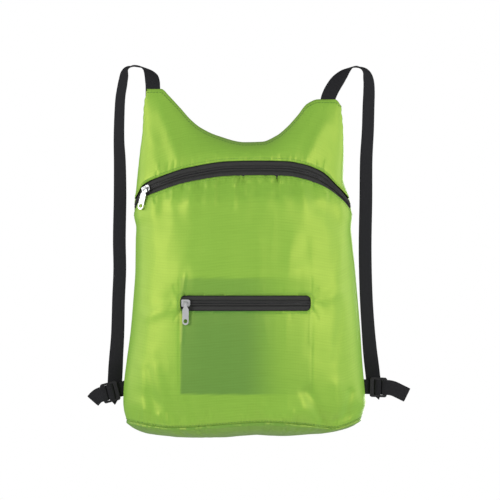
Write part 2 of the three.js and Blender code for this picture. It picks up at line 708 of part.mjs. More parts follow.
// The pouch hangs behind the front panel as a shallow tray with its rim against the cloth
const POUCH_COLUMNS = 10;
const POUCH_ROWS = 9;
function pouchFace(extra) {
  const low = POCKET_ZIP_UP - POUCH_BELOW_ZIP;
  const high = POCKET_ZIP_UP + POUCH_ABOVE_ZIP;
  const half = POUCH_WIDTH / 2;
  const lines = (from, to, count) => {
    const within = evenly(count).map((share) => mix(from + POUCH_RIM, to - POUCH_RIM, share));
    return [from, ...within, to];
  };
  const xs = lines(POCKET_CENTRE_X - half, POCKET_CENTRE_X + half, POUCH_COLUMNS);
  const zs = lines(low, high, POUCH_ROWS);
  return xs.map((x, i) =>
    zs.map((z, j) => {
      const isRim = i === 0 || j === 0 || i === xs.length - 1 || j === zs.length - 1;
      return frontPoint(x, z, (isRim ? CLOTH + POUCH_SEAT : POUCH_DEPTH) + extra);
    }),
  );
}
addMesh('pocket_pouch', sheet(pouchFace(0), pouchFace(POUCH_CLOTH)), LIME_SHADE, CLOTH_ROUGHNESS);

// Zip hardware, drawn with X along the zip, Z up across it and the bag's inside towards +Y
const CROWN_EYE_RADIUS = CROWN_BAR_RADIUS + CLEARANCE + PULL_EYE_WALL;
const PLATE_FACE = COIL_PROUD + CLEARANCE + SLIDER_PLATE;
const CROWN_AXIS = PLATE_FACE + CROWN_EYE_RADIUS + CLEARANCE;
const NOSE_TAPER = 3;
const NOSE_ROUND = 2.5;
const NOSE_SHOULDER = 0.5;
const TAIL_BULGE = 1;
const METAL_ROUGHNESS = 0.25;
const ROUND_STEPS = 16;

function block(xSize, ySize, zSize, x, y, z) {
  return solidOf(new THREE.BoxGeometry(xSize, ySize, zSize).translate(x, y, z));
}

function sliderGeometry() {
  const halfHeight = COIL_WIDTH / 2 + SLIDER_PLAY + SLIDER_FLANGE;
  const outline = new THREE.Shape();
  const nose = SLIDER_LENGTH / 2;
  const bend = halfHeight - NOSE_SHOULDER;
  const tip = halfHeight - NOSE_ROUND;
  outline.moveTo(-nose, -halfHeight);
  outline.lineTo(nose - NOSE_TAPER, -halfHeight);
  outline.quadraticCurveTo(nose, -bend, nose, -tip);
  outline.lineTo(nose, tip);
  outline.quadraticCurveTo(nose, bend, nose - NOSE_TAPER, halfHeight);
  outline.lineTo(-nose, halfHeight);
  outline.quadraticCurveTo(-nose - TAIL_BULGE, 0, -nose, -halfHeight);
  const plate = new THREE.ExtrudeGeometry(outline, {
    depth: SLIDER_PLATE,
    bevelEnabled: false,
    curveSegments: 5,
  });
  plate.rotateX(Math.PI / 2);
  plate.translate(0, -PLATE_FACE + SLIDER_PLATE, 0);
  const flangeFoot = COIL_INSET / 2;
  const flangeDepth = PLATE_FACE + flangeFoot - SLIDER_PLATE / 2;
  const flangeMiddle = flangeFoot - flangeDepth / 2;
  const flangeUp = halfHeight - SLIDER_FLANGE / 2;
  const flangeLength = SLIDER_LENGTH - NOSE_TAPER;
  const flangeAlong = -TAIL_BULGE;
  const legDepth = CROWN_AXIS + CROWN_BAR_RADIUS - PLATE_FACE + SLIDER_PLATE / 2;
  const legMiddle = -(PLATE_FACE - SLIDER_PLATE / 2) - legDepth / 2;
  const legOut = (CROWN_SPAN - CROWN_LEG) / 2;
  const barLength = CROWN_SPAN - CROWN_LEG;
  const bar = new THREE.CylinderGeometry(CROWN_BAR_RADIUS, CROWN_BAR_RADIUS, barLength, ROUND_STEPS);
  bar.rotateZ(Math.PI / 2);
  bar.translate(0, -CROWN_AXIS, 0);
  const solids = [
    block(flangeLength, flangeDepth, SLIDER_FLANGE, flangeAlong, flangeMiddle, flangeUp),
    block(flangeLength, flangeDepth, SLIDER_FLANGE, flangeAlong, flangeMiddle, -flangeUp),
    block(CROWN_LEG, legDepth, 2 * CROWN_BAR_RADIUS, legOut, legMiddle, 0),
    block(CROWN_LEG, legDepth, 2 * CROWN_BAR_RADIUS, -legOut, legMiddle, 0),
    solidOf(bar),
  ];
  return geometryOf(solids.reduce((whole, solid) => whole.add(solid), solidOf(plate)));
}

// The pull tab's eye turns on the crown bar, which is the tab's own origin. The tab hangs at a
// lean from the zip's line, because its eye has sideways play. The plate starts a few eye radii
// under the bar and has its full width at the shoulder, a share of its length
const PLATE_STARTS = 2.4;
const SHOULDER_AT = 0.3;
function pullGeometry(lean) {
  const bore = CROWN_BAR_RADIUS + CLEARANCE;
  const halfEye = CROWN_SPAN / 2 - CROWN_LEG - CLEARANCE;
  const eye = new THREE.LatheGeometry(
    [
      new THREE.Vector2(bore, -halfEye),
      new THREE.Vector2(CROWN_EYE_RADIUS, -halfEye),
      new THREE.Vector2(CROWN_EYE_RADIUS, halfEye),
      new THREE.Vector2(bore, halfEye),
      new THREE.Vector2(bore, -halfEye),
    ],
    ROUND_STEPS,
  );
  eye.rotateZ(Math.PI / 2);
  const half = PULL_WIDTH / 2;
  const neck = halfEye - CLEARANCE;
  const neckFoot = PLATE_STARTS * CROWN_EYE_RADIUS;
  const shoulder = SHOULDER_AT * PULL_LENGTH;
  const tab = new THREE.Shape();
  tab.moveTo(-neck, CLEARANCE - neckFoot);
  tab.lineTo(-half, -shoulder);
  tab.lineTo(-half, -PULL_LENGTH + half);
  tab.absarc(0, -PULL_LENGTH + half, half, Math.PI, 2 * Math.PI);
  tab.lineTo(half, -shoulder);
  tab.lineTo(neck, CLEARANCE - neckFoot);
  tab.closePath();
  const hole = new THREE.Path();
  hole.absarc(0, -PULL_LENGTH + PULL_HOLE_FROM_END, PULL_HOLE_RADIUS, 0, 2 * Math.PI);
  tab.holes.push(hole);
  const settings = { depth: PULL_THICKNESS, bevelEnabled: false, curveSegments: 8 };
  const plate = new THREE.ExtrudeGeometry(tab, settings);
  plate.translate(0, 0, -PULL_THICKNESS / 2);
  plate.rotateX(Math.PI / 2);
  plate.rotateY(lean);
  const neckTop = bore + PULL_EYE_WALL / 3;
  const neckDepth = neckFoot + PULL_EYE_WALL - neckTop;
  const bridge = block(2 * neck, PULL_THICKNESS, neckDepth, 0, 0, -neckTop - neckDepth / 2);
  return geometryOf(solidOf(eye).add(bridge).add(solidOf(plate)));
}

// Sets a slider on the zip at a place, and hangs its pull tab in front of the cloth. Sway is how
// far the tab leans towards the vertical, as a share of the zip's own slope
const PULL_STAND_OFF = 3.5;
function addSlider(name, pointAt, share, sway) {
  const step = 0.01;
  const here = pointAt(share, 0, 0);
  const along = pointAt(share + step, 0, 0).sub(pointAt(share - step, 0, 0)).normalize();
  const above = pointAt(share, COIL_WIDTH, 0).sub(pointAt(share, -COIL_WIDTH, 0));
  const outward = along.clone().cross(above).normalize();
  const up = outward.clone().cross(along).normalize();
  const frame = new THREE.Matrix4().makeBasis(along, outward.clone().negate(), up);
  const slider = addMesh(`${name}_slider`, sliderGeometry(), BRIGHT_METAL, METAL_ROUGHNESS, 1);
  slider.position.copy(here);
  slider.setRotationFromMatrix(frame);

  const axle = here.clone().addScaledVector(outward, CROWN_AXIS);
  const lean = Math.atan2(along.z, up.z) * sway;
  const below = here.clone().addScaledVector(up, -PULL_LENGTH * Math.cos(lean));
  below.addScaledVector(along, -PULL_LENGTH * Math.sin(lean));
  const foot = frontPoint(below.x, below.z, -PULL_STAND_OFF);
  const reach = foot.sub(axle);
  const tilt = Math.atan2(reach.dot(outward), -reach.dot(up));
  const pull = addMesh(`${name}_pull`, pullGeometry(lean), BRIGHT_METAL, METAL_ROUGHNESS, 1);
  pull.position.copy(axle);
  pull.setRotationFromMatrix(frame);
  pull.rotateX(-tilt);
}

const MAIN_SLIDER_TURN = -0.705;
const MAIN_PULL_SWAY = 1.35;
const POCKET_SLIDER_INSIDE = 7.5;
const POCKET_PULL_SWAY = 1;
addSlider('main_zip', mainZipPoint, (MAIN_SLIDER_TURN + 1) / 2, MAIN_PULL_SWAY);
const pocketShare = POCKET_SLIDER_INSIDE / POCKET_LENGTH;
addSlider('pocket_zip', pocketZipPoint(POCKET_LENGTH / 2), pocketShare, POCKET_PULL_SWAY);

// Strap adjuster: three bars and two slots between two rails. The side tab loops round the middle
// bar and the strap over the outer bar. A runs outwards along the webbing and B up across it
const LAYER = WEBBING + CLEARANCE;
const SLOT_A = WEBBING + 2 * SLOT_PLAY;
const SLOT_B = 2 * WEBBING + 3 * SLOT_PLAY;
const BAR_B_FROM = ADJUSTER_BAR + SLOT_A;
const SLOT_B_FROM = BAR_B_FROM + ADJUSTER_BAR;
const BAR_C_FROM = SLOT_B_FROM + SLOT_B;
const ADJUSTER_LENGTH = BAR_C_FROM + ADJUSTER_BAR;
const ADJUSTER_WIDTH = WEBBING_WIDTH + 2 * SLOT_PLAY + 2 * ADJUSTER_RAIL;
const FACE_LAYER = ADJUSTER_THICKNESS / 2 + CLEARANCE + WEBBING / 2;
const TAB_MIDDLE = FACE_LAYER + LAYER / 2;

// The adjuster's own frame in the bag: a is out along the webbing, b up across it, c to the front
function adjusterFrame(side) {
  const hand = HANDS[side];
  const { up, tilt } = ADJUSTERS[side];
  const angle = radians(tilt);
  const a = new THREE.Vector3(hand * Math.cos(angle), 0, -Math.sin(angle));
  const b = new THREE.Vector3(hand * Math.sin(angle), 0, Math.cos(angle));
  const c = new THREE.Vector3(0, -1, 0);
  const z = up * BAG_HEIGHT;
  const seam = new THREE.Vector3(hand * halfWidthAt(z, hand), 0, z);
  const origin = seam.addScaledVector(a, SIDE_TAB_REACH).addScaledVector(c, TAB_MIDDLE);
  const at = (aValue, bValue, cValue) =>
    origin.clone().addScaledVector(a, aValue).addScaledVector(b, bValue).addScaledVector(c, cValue);
  return { hand, a, b, c, origin, at };
}

function adjusterGeometry() {
  const half = ADJUSTER_WIDTH / 2;
  const corner = ADJUSTER_RAIL;
  const outline = new THREE.Shape();
  const quarter = Math.PI / 2;
  outline.absarc(ADJUSTER_LENGTH - corner, half - corner, corner, 0, quarter);
  outline.absarc(corner, half - corner, corner, quarter, 2 * quarter);
  outline.absarc(corner, -half + corner, corner, 2 * quarter, 3 * quarter);
  outline.absarc(ADJUSTER_LENGTH - corner, -half + corner, corner, 3 * quarter, 4 * quarter);
  const settings = { depth: ADJUSTER_THICKNESS, bevelEnabled: false, curveSegments: 4 };
  const plate = new THREE.ExtrudeGeometry(outline, settings);
  plate.translate(0, 0, -ADJUSTER_THICKNESS / 2);
  const slot = (from, size) =>
    block(size, WEBBING_WIDTH + 2 * SLOT_PLAY, 2 * ADJUSTER_THICKNESS, from + size / 2, 0, 0);
  const slots = [slot(ADJUSTER_BAR, SLOT_A), slot(SLOT_B_FROM, SLOT_B)];
  return geometryOf(slots.reduce((whole, hole) => whole.subtract(hole), solidOf(plate)));
}

// Turns a route of [a, c] points, with how far b has swung, into ribbon stations
const HALF_WEBBING = WEBBING_WIDTH / 2;
function loopStations(frame, route) {
  return route.map(({ a, b = 0, c, heading = 0, na, nc }) => {
    const across = frame.b.clone().multiplyScalar(Math.cos(heading));
    across.addScaledVector(frame.a, Math.sin(heading));
    const centre = frame.at(a, b, c);
    const along = frame.a.clone().multiplyScalar(Math.cos(heading));
    along.addScaledVector(frame.b, -Math.sin(heading));
    const n = along.multiplyScalar(na).addScaledVector(frame.c, nc);
    return {
      p: centre.clone().addScaledVector(across, -HALF_WEBBING),
      q: centre.clone().addScaledVector(across, HALF_WEBBING),
      n: n.normalize(),
    };
  });
}

// How far the middle of a bend lies inside the corner that its two runs would make
const SLANT = Math.SQRT1_2;
const BEND_IN = BEND_RADIUS * (1 - SLANT);

function sideTabStations(frame) {
  const upRun = ADJUSTER_BAR + SLOT_A / 2;
  const downRun = SLOT_B_FROM + SLOT_PLAY + WEBBING / 2;
  const near = -FACE_LAYER;
  const far = -FACE_LAYER - LAYER;
  const r = BEND_RADIUS;
  const route = [
    { a: -SIDE_TAB_REACH, c: near, na: 0, nc: 1 },
    { a: upRun - r, c: near, na: 0, nc: 1 },
    { a: upRun - BEND_IN, c: near + BEND_IN, na: -1, nc: 1 },
    { a: upRun, c: near + r, na: -1, nc: 0 },
    { a: upRun, c: FACE_LAYER - r, na: -1, nc: 0 },
    { a: upRun + BEND_IN, c: FACE_LAYER - BEND_IN, na: -1, nc: 1 },
    { a: upRun + r, c: FACE_LAYER, na: 0, nc: 1 },
    { a: downRun - r, c: FACE_LAYER, na: 0, nc: 1 },
    { a: downRun - BEND_IN, c: FACE_LAYER - BEND_IN, na: 1, nc: 1 },
    { a: downRun, c: FACE_LAYER - r, na: 1, nc: 0 },
    { a: downRun, c: near + r, na: 1, nc: 0 },
    { a: downRun - BEND_IN, c: near + BEND_IN, na: 1, nc: -1 },
    { a: downRun - r, c: near, na: 0, nc: -1 },
    { a: BAR_B_FROM, c: near, na: 0, nc: -1 },
    { a: ADJUSTER_BAR - r, c: far, na: 0, nc: -1 },
    { a: -SIDE_TAB_REACH, c: far, na: 0, nc: -1 },
  ];
  const stations = loopStations(frame, route);
  const ends = [stations[0], stations[stations.length - 1]];
  for (const end of ends) {
    for (const edge of [end.p, end.q]) seatOnSeam(edge, frame);
  }
  return stations;
}

// Slides a point along the webbing until it lies the seam's gap outside the side seam
function seatOnSeam(point, frame) {
  for (let pass = 0; pass < 4; pass += 1) {
    const seamX = halfWidthAt(point.z, frame.hand) + CLEARANCE;
    const short = (seamX - frame.hand * point.x) / Math.abs(frame.a.x);
    point.addScaledVector(frame.a, short);
  }
}

// The strap is straight over this run above its flat fold, its loop starts to swing this far
// beyond the adjuster and bends over a share of its length, and its two layers meet at the end
const FOLD_APPROACH = { from: 12, to: 1 };
const SWING_STARTS = 1;
const BEND_SHARE = 0.7;
const LONGEST_BEND = 11;
const LAYERS_APART = 0.1;
const LAYERS_CLOSE = 2;
const STATIONS_PER_ROW = 2;
const LOOP_STEPS = 7;

// A strap: tongue in the horn, over the crest, down behind the adjuster, a flat fold outwards, the
// loop that stands out as a tail, back over the outer bar and through the slot to its free end
function strapStations(side) {
  const frame = adjusterFrame(side);
  const { hand } = frame;
  const { tailTurn, tailLength, endTurn, freeEnd } = ADJUSTERS[side];
  const behind = (layers) => -FACE_LAYER - layers * LAYER;
  const place = (out, y, z) => new THREE.Vector3(hand * out, y, z);

  const rows = STRAP_ROUTES[side].map((row) => ({
    point: place(row.out * HALF_WIDTH, row.back * STRAP_SWING, row.up * BAG_HEIGHT),
    turn: row.turn,
  }));
  const tongue = rows[0].point.clone();
  tongue.z -= STRAP_TONGUE;
  rows.unshift({ point: tongue, turn: 0 });

  const foldMiddle = frame.at(STRAP_DROP_IN, 0, behind(4));
  const down = foldMiddle.clone().sub(rows[rows.length - 1].point).setY(0).normalize();
  const outwards = frame.a;
  const foldLine = down.clone().add(outwards).normalize();
  const acrossDown = new THREE.Vector3(-hand * down.z, 0, hand * down.x);
  const acrossOut = frame.b;
  const foldReach = HALF_WEBBING / foldLine.dot(acrossDown);
  const foldOuter = foldMiddle.clone().addScaledVector(foldLine, foldReach);
  const foldInner = foldMiddle.clone().addScaledVector(foldLine, -foldReach);
  const lastLevel = foldInner.clone().sub(foldMiddle).dot(down);
  for (const above of [lastLevel - FOLD_APPROACH.from, lastLevel - FOLD_APPROACH.to]) {
    rows.push({ point: foldMiddle.clone().addScaledVector(down, above), turn: 180 });
  }

  const curve = new THREE.CatmullRomCurve3(rows.map((row) => row.point), false, 'centripetal');
  const turnAt = curveThrough(rows.map((row, i) => ({ i, turn: row.turn })), 'i', 'turn');
  const stations = [];
  const last = rows.length - 1;
  for (let i = 0; i <= last * STATIONS_PER_ROW; i += 1) {
    const t = i / (last * STATIONS_PER_ROW);
    const along = curve.getTangent(t);
    const turn = radians(turnAt(i / STATIONS_PER_ROW));
    const across = new THREE.Vector3(-hand * Math.cos(turn), Math.sin(turn), 0);
    across.addScaledVector(along, -across.dot(along)).normalize();
    const centre = curve.getPoint(t);
    stations.push({
      p: centre.clone().addScaledVector(across, HALF_WEBBING),
      q: centre.clone().addScaledVector(across, -HALF_WEBBING),
      n: along.clone().cross(across).multiplyScalar(-hand).normalize(),
    });
  }

  // The flat fold: both edges run to the fold line, round it and away outwards one layer nearer
  const backwards = new THREE.Vector3(0, 1, 0);
  const forwards = new THREE.Vector3(0, -1, 0);
  const offFold = new THREE.Vector3(foldLine.z, 0, -foldLine.x).multiplyScalar(hand);
  const middleLayer = LAYER / 2;
  const nearLayer = (point, layers) => point.clone().addScaledVector(forwards, layers);
  const level = foldMiddle.clone().addScaledVector(down, lastLevel);
  stations.push({ p: level.clone().addScaledVector(acrossDown, HALF_WEBBING), q: foldInner, n: backwards });
  stations.push({ p: foldOuter, q: foldInner, n: backwards });
  const swell = offFold.dot(down) > 0 ? offFold : offFold.clone().negate();
  stations.push({
    p: nearLayer(foldOuter, middleLayer).addScaledVector(swell, middleLayer),
    q: nearLayer(foldInner, middleLayer).addScaledVector(swell, middleLayer),
    n: swell,
  });
  const outer = nearLayer(foldOuter, LAYER);
  stations.push({ p: outer, q: nearLayer(foldInner, LAYER), n: forwards });
  const run = outer.clone().sub(foldMiddle).dot(outwards);
  stations.push({ p: outer, q: outer.clone().addScaledVector(acrossOut, WEBBING_WIDTH), n: forwards });

  // The loop beyond the adjuster, out on the back layer and home on the front layer
  const turnFrom = ADJUSTER_LENGTH + SWING_STARTS;
  const turnTo = turnFrom + Math.min(BEND_SHARE * tailLength, LONGEST_BEND);
  const tailEnd = ADJUSTER_LENGTH + tailLength;
  const total = radians(tailTurn);
  const plan = (distance) => {
    const share = Math.min(Math.max((distance - turnFrom) / (turnTo - turnFrom), 0), 1);
    const heading = total * share;
    const bent = (turnTo - turnFrom) * share;
    const straight = distance <= turnFrom ? distance : turnFrom;
    const beyond = Math.max(distance - turnTo, 0);
    const chord = heading > 0 ? (bent * Math.sin(heading / 2)) / (heading / 2) : 0;
    const a = straight + chord * Math.cos(heading / 2) + beyond * Math.cos(heading);
    const b = -chord * Math.sin(heading / 2) - beyond * Math.sin(heading);
    return { a, b, heading };
  };
  const endMiddle = (FACE_LAYER + behind(3)) / 2;
  const half = LAYER / 2 + LAYERS_APART;
  const backLayer = (distance) => {
    const share = smooth(distance, ADJUSTER_LENGTH - LAYERS_CLOSE, tailEnd);
    return mix(behind(3), endMiddle - half, share);
  };
  const frontLayer = (distance) => {
    const share = smooth(distance, ADJUSTER_LENGTH, tailEnd);
    return mix(FACE_LAYER, endMiddle + half, share);
  };
  const outStart = STRAP_DROP_IN + run + LAYERS_CLOSE;
  const loop = [];
  for (const share of evenly(LOOP_STEPS)) {
    const distance = mix(outStart, tailEnd, share);
    loop.push({ ...plan(distance), c: backLayer(distance), na: 0, nc: 1 });
  }
  loop.push({ ...plan(tailEnd + half), c: endMiddle, na: -1, nc: 0 });
  for (const share of evenly(LOOP_STEPS)) {
    const distance = mix(tailEnd, BAR_C_FROM + BEND_RADIUS, share);
    loop.push({ ...plan(distance), c: frontLayer(distance), na: 0, nc: -1 });
  }
  const slotRun = BAR_C_FROM - SLOT_PLAY - WEBBING / 2;
  const r = BEND_RADIUS;
  const rear = behind(2);
  loop.push({ a: slotRun + BEND_IN, c: FACE_LAYER - BEND_IN, na: 1, nc: -1 });
  loop.push({ a: slotRun, c: FACE_LAYER - r, na: 1, nc: 0 });
  loop.push({ a: slotRun, c: rear + r, na: 1, nc: 0 });
  loop.push({ a: slotRun - BEND_IN, c: rear + BEND_IN, na: 1, nc: -1 });
  loop.push({ a: slotRun - r, c: rear, na: 0, nc: -1 });
  const endAngle = radians(endTurn);
  const endA = slotRun - r - freeEnd * Math.cos(endAngle);
  const endB = -freeEnd * Math.sin(endAngle);
  loop.push({ a: endA, b: endB, heading: -endAngle, c: rear, na: 0, nc: -1 });
  return stations.concat(loopStations(frame, loop));
}

const PLASTIC_ROUGHNESS = 0.35;
const WEBBING_ROUGHNESS = 0.85;
for (const side of ['left', 'right']) {
  const frame = adjusterFrame(side);
  const adjuster = addMesh(`adjuster_${side}`, adjusterGeometry(), BLACK_PLASTIC, PLASTIC_ROUGHNESS);
  const upwards = frame.a.clone().cross(frame.b);
  adjuster.position.copy(frame.origin);
  adjuster.setRotationFromMatrix(new THREE.Matrix4().makeBasis(frame.a, frame.b, upwards));
  const tab = ribbon(sideTabStations(frame), WEBBING);
  addMesh(`side_tab_${side}`, tab, BLACK_WEBBING, WEBBING_ROUGHNESS);
  const strap = ribbon(strapStations(side), WEBBING);
  addMesh(`strap_${side}`, strap, BLACK_WEBBING, WEBBING_ROUGHNESS);
}

// The origin is midway between the two strap crests, where the bag hangs
function crestPoint(side) {
  const row = STRAP_ROUTES[side].reduce((highest, next) => (next.up > highest.up ? next : highest));
  const z = row.up * BAG_HEIGHT - WEBBING / 2;
  return new THREE.Vector3(HANDS[side] * row.out * HALF_WIDTH, row.back * STRAP_SWING, z);
}
const hangingPoint = crestPoint('left').add(crestPoint('right')).multiplyScalar(0.5);
bag.position.copy(hangingPoint).negate();

export default group;
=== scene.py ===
# %% [markdown]
# # A packable backpack of ripstop nylon
# The bag is thin coated nylon, cut flat, sewn and stuffed, and it hangs by two webbing shoulder
# straps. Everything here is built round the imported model, in its frame and in metres, so the
# first cell loads that model and keeps its box.

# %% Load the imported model
import math
import random
import bpy
import numpy as np
from mathutils import Matrix, Vector
from mathutils.bvhtree import BVHTree


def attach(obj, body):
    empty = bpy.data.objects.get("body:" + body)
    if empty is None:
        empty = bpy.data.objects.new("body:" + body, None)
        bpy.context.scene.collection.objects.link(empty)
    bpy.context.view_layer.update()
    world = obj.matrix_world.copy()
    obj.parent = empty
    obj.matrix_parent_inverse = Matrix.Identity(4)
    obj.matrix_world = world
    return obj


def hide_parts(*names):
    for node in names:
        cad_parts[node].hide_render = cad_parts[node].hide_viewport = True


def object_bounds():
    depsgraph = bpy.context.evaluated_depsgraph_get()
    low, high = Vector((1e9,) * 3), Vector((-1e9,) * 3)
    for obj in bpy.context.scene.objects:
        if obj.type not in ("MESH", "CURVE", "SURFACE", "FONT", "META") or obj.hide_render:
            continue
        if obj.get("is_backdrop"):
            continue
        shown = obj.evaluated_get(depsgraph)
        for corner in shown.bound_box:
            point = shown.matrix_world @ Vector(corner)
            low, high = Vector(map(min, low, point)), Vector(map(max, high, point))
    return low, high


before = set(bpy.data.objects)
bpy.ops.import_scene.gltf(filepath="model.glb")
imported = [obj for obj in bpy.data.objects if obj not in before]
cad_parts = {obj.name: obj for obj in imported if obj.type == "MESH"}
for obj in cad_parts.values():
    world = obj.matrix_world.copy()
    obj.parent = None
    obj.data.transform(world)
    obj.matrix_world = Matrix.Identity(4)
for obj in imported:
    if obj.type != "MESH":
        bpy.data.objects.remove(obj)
cad_low, cad_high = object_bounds()
print("packed model", [round(v, 4) for v in cad_low], [round(v, 4) for v in cad_high])

# %% [markdown]
# ## The camera
# The photograph is taken level, from straight in front, and the middle of its frame lies a little
# right of the bag's middle. One pixel is 1.3 mm at the side seams. A long lens keeps the bulging
# front from growing much against the outline, as it does in the photograph.

# %% Camera
PHOTO_SIDE = 500
PIXEL = 0.0013
FRAME_CENTRE = (0.0083, -0.2389)
LENS = 150
SENSOR = 36
SEAM_PLANE = -0.0141

camera_data = bpy.data.cameras.new("photo_camera")
camera_data.lens = LENS
camera_data.sensor_width = SENSOR
camera = bpy.data.objects.new("photo_camera", camera_data)
bpy.context.collection.objects.link(camera)
camera_distance = PHOTO_SIDE * PIXEL * LENS / SENSOR
camera.location = (FRAME_CENTRE[0], SEAM_PLANE - camera_distance, FRAME_CENTRE[1])
camera.rotation_euler = (math.pi / 2, 0, 0)
bpy.context.scene.camera = camera
print("camera distance", round(camera_distance, 3))

# %% [markdown]
# ## The shape of the bag, as numbers
# A sewn bag could be sculpted, but its outline, neck and zip are known lines, so each is a small
# table, and one smooth curve runs through its rows. Heights are shares of the bag's height, and
# "across" runs from -1 at the left seam to 1 at the right seam. Lengths are in millimetres in the
# bag's own frame, with zero at the lowest point, and they turn to metres only when a mesh is made.

# %% Sizes and tables of the bag
BAG_WIDTH = 315
BAG_HEIGHT = 452
FRONT_DEPTH = 70
BACK_DEPTH = 42
GUSSET_HEIGHT = 24
ZIP_WINDOW = 19
ZIP_SINK = 3
ZIP_SINK_REACH = 20
POCKET_LENGTH = 166
POCKET_WINDOW = 19.5
POCKET_CORNER = 6
POCKET_CENTRE_X = 1.5
POCKET_ZIP_UP = 175.5
POUCH_WIDTH = 177
POUCH_ABOVE_ZIP = 33
POUCH_BELOW_ZIP = 122
POUCH_SHOWN_WIDTH = 168
POUCH_SHOWN_BELOW = 117
SECTION_FULLNESS = 2.4
HANGING_POINT = np.array([-1.1025, 14.1, 482.0312])
HALF_WIDTH = BAG_WIDTH / 2
FRONT, BACK = -1, 1

# height, left side, right side
SIDE_LINES = [
    (0.0, 0.93, 0.9), (0.049, 0.971, 0.955), (0.0835, 0.996, 0.988), (0.101, 1.0, 1.0),
    (0.1525, 0.994, 0.988), (0.2216, 0.971, 0.971), (0.308, 0.938, 0.955), (0.4115, 0.913, 0.93),
    (0.4806, 0.9, 0.913), (0.567, 0.897, 0.888), (0.6014, 0.893, 0.88), (0.636, 0.911, 0.888),
    (0.6705, 0.913, 0.88), (0.705, 0.897, 0.847), (0.74, 0.888, 0.816), (0.826, 0.864, 0.822),
    (0.878, 0.847, 0.822), (0.9496, 0.84, 0.808), (1.0, 0.816, 0.78)]
# across, height of the top edge
TOP_LINE = [
    (-1.0, 1.0), (-0.848, 1.0), (-0.76, 0.981), (-0.64, 0.947), (-0.531, 0.912), (-0.434, 0.889),
    (-0.268, 0.866), (0.004, 0.8466), (0.176, 0.848), (0.327, 0.866), (0.427, 0.889),
    (0.543, 0.924), (0.65, 0.958), (0.765, 0.97), (0.934, 0.97), (1.0, 0.9496)]
# across, height of the arched zip's middle line
ZIP_LINE = [
    (-1.0, 0.664), (-0.93, 0.704), (-0.775, 0.7266), (-0.51, 0.7525), (-0.13, 0.7695),
    (0.142, 0.7712), (0.42, 0.7695), (0.6, 0.7603), (0.757, 0.744), (0.85, 0.725), (0.93, 0.698),
    (1.0, 0.666)]
# height, how far front and back stand out
DEPTH_LINES = [
    (0.0, 0.72, 0.74), (0.1, 0.88, 0.9), (0.2, 0.97, 1.0), (0.32, 1.0, 1.0), (0.45, 0.97, 0.97),
    (0.56, 0.89, 0.9), (0.66, 0.76, 0.78), (0.74, 0.6, 0.64), (0.8, 0.48, 0.54),
    (0.88, 0.38, 0.44), (1.0, 0.27, 0.32)]
# across, height of the bottom seam and of the floor, as shares of the gusset's height
GUSSET_LINE = [
    (-1.0, 0.95, 0.1), (-0.62, 0.66, 0.0), (0.0, 0.93, 0.14), (0.2, 0.98, 0.2), (0.5, 0.84, 0.1),
    (0.78, 0.6, 0.22), (1.0, 1.05, 0.3)]
# from the gusset's rim to the middle of its floor: how far out and how high
GUSSET_RINGS = [
    (0.0, 1.0, 1.0), (0.2, 0.972, 0.66), (0.4, 0.9, 0.34), (0.6, 0.78, 0.12), (0.8, 0.5, 0.0),
    (1.0, 0.0, 0.0)]


def curve_through(rows, column):
    """A smooth curve through one column of a table, which never swings past its rows."""
    x = np.array([row[0] for row in rows])
    y = np.array([row[column] for row in rows])
    rate = np.diff(y) / np.diff(x)
    before, after = rate[:-1], rate[1:]
    same_way = before * after > 0
    inner = np.where(same_way, 2 * before * after / np.where(same_way, before + after, 1), 0)
    slope = np.concatenate([rate[:1], inner, rate[-1:]])

    def at(value):
        value = np.clip(value, x[0], x[-1])
        i = np.clip(np.searchsorted(x, value) - 1, 0, len(x) - 2)
        span = x[i + 1] - x[i]
        t = (value - x[i]) / span
        rest = 1 - t
        return (rest ** 2 * (1 + 2 * t) * y[i] + t ** 2 * (3 - 2 * t) * y[i + 1]
                + span * t * rest * (rest * slope[i] - t * slope[i + 1]))
    return at


left_line, right_line = curve_through(SIDE_LINES, 1), curve_through(SIDE_LINES, 2)
top_line, zip_line = curve_through(TOP_LINE, 1), curve_through(ZIP_LINE, 1)
front_line, back_line = curve_through(DEPTH_LINES, 1), curve_through(DEPTH_LINES, 2)
gusset_seam, gusset_floor = curve_through(GUSSET_LINE, 1), curve_through(GUSSET_LINE, 2)
ring_out, ring_height = curve_through(GUSSET_RINGS, 1), curve_through(GUSSET_RINGS, 2)
print("bag", BAG_WIDTH, "by", BAG_HEIGHT, "mm")

# %% [markdown]
# ## Folds, gathers and puckers
# Stuffed nylon shows where it is held: gathers hang under the arched zip, puckers fan out from the
# ends of the pocket's window, and the bottom corners fold. Each is a stroke of cloth pushed out or
# in, wide where it dies out and narrow where it starts. The large ones are in a table, in shares
# of the panel. The small ones are in millimetres, and the ones nobody can see in the photograph,
# on the back, are drawn with a fixed seed so that every run gives the same cloth.

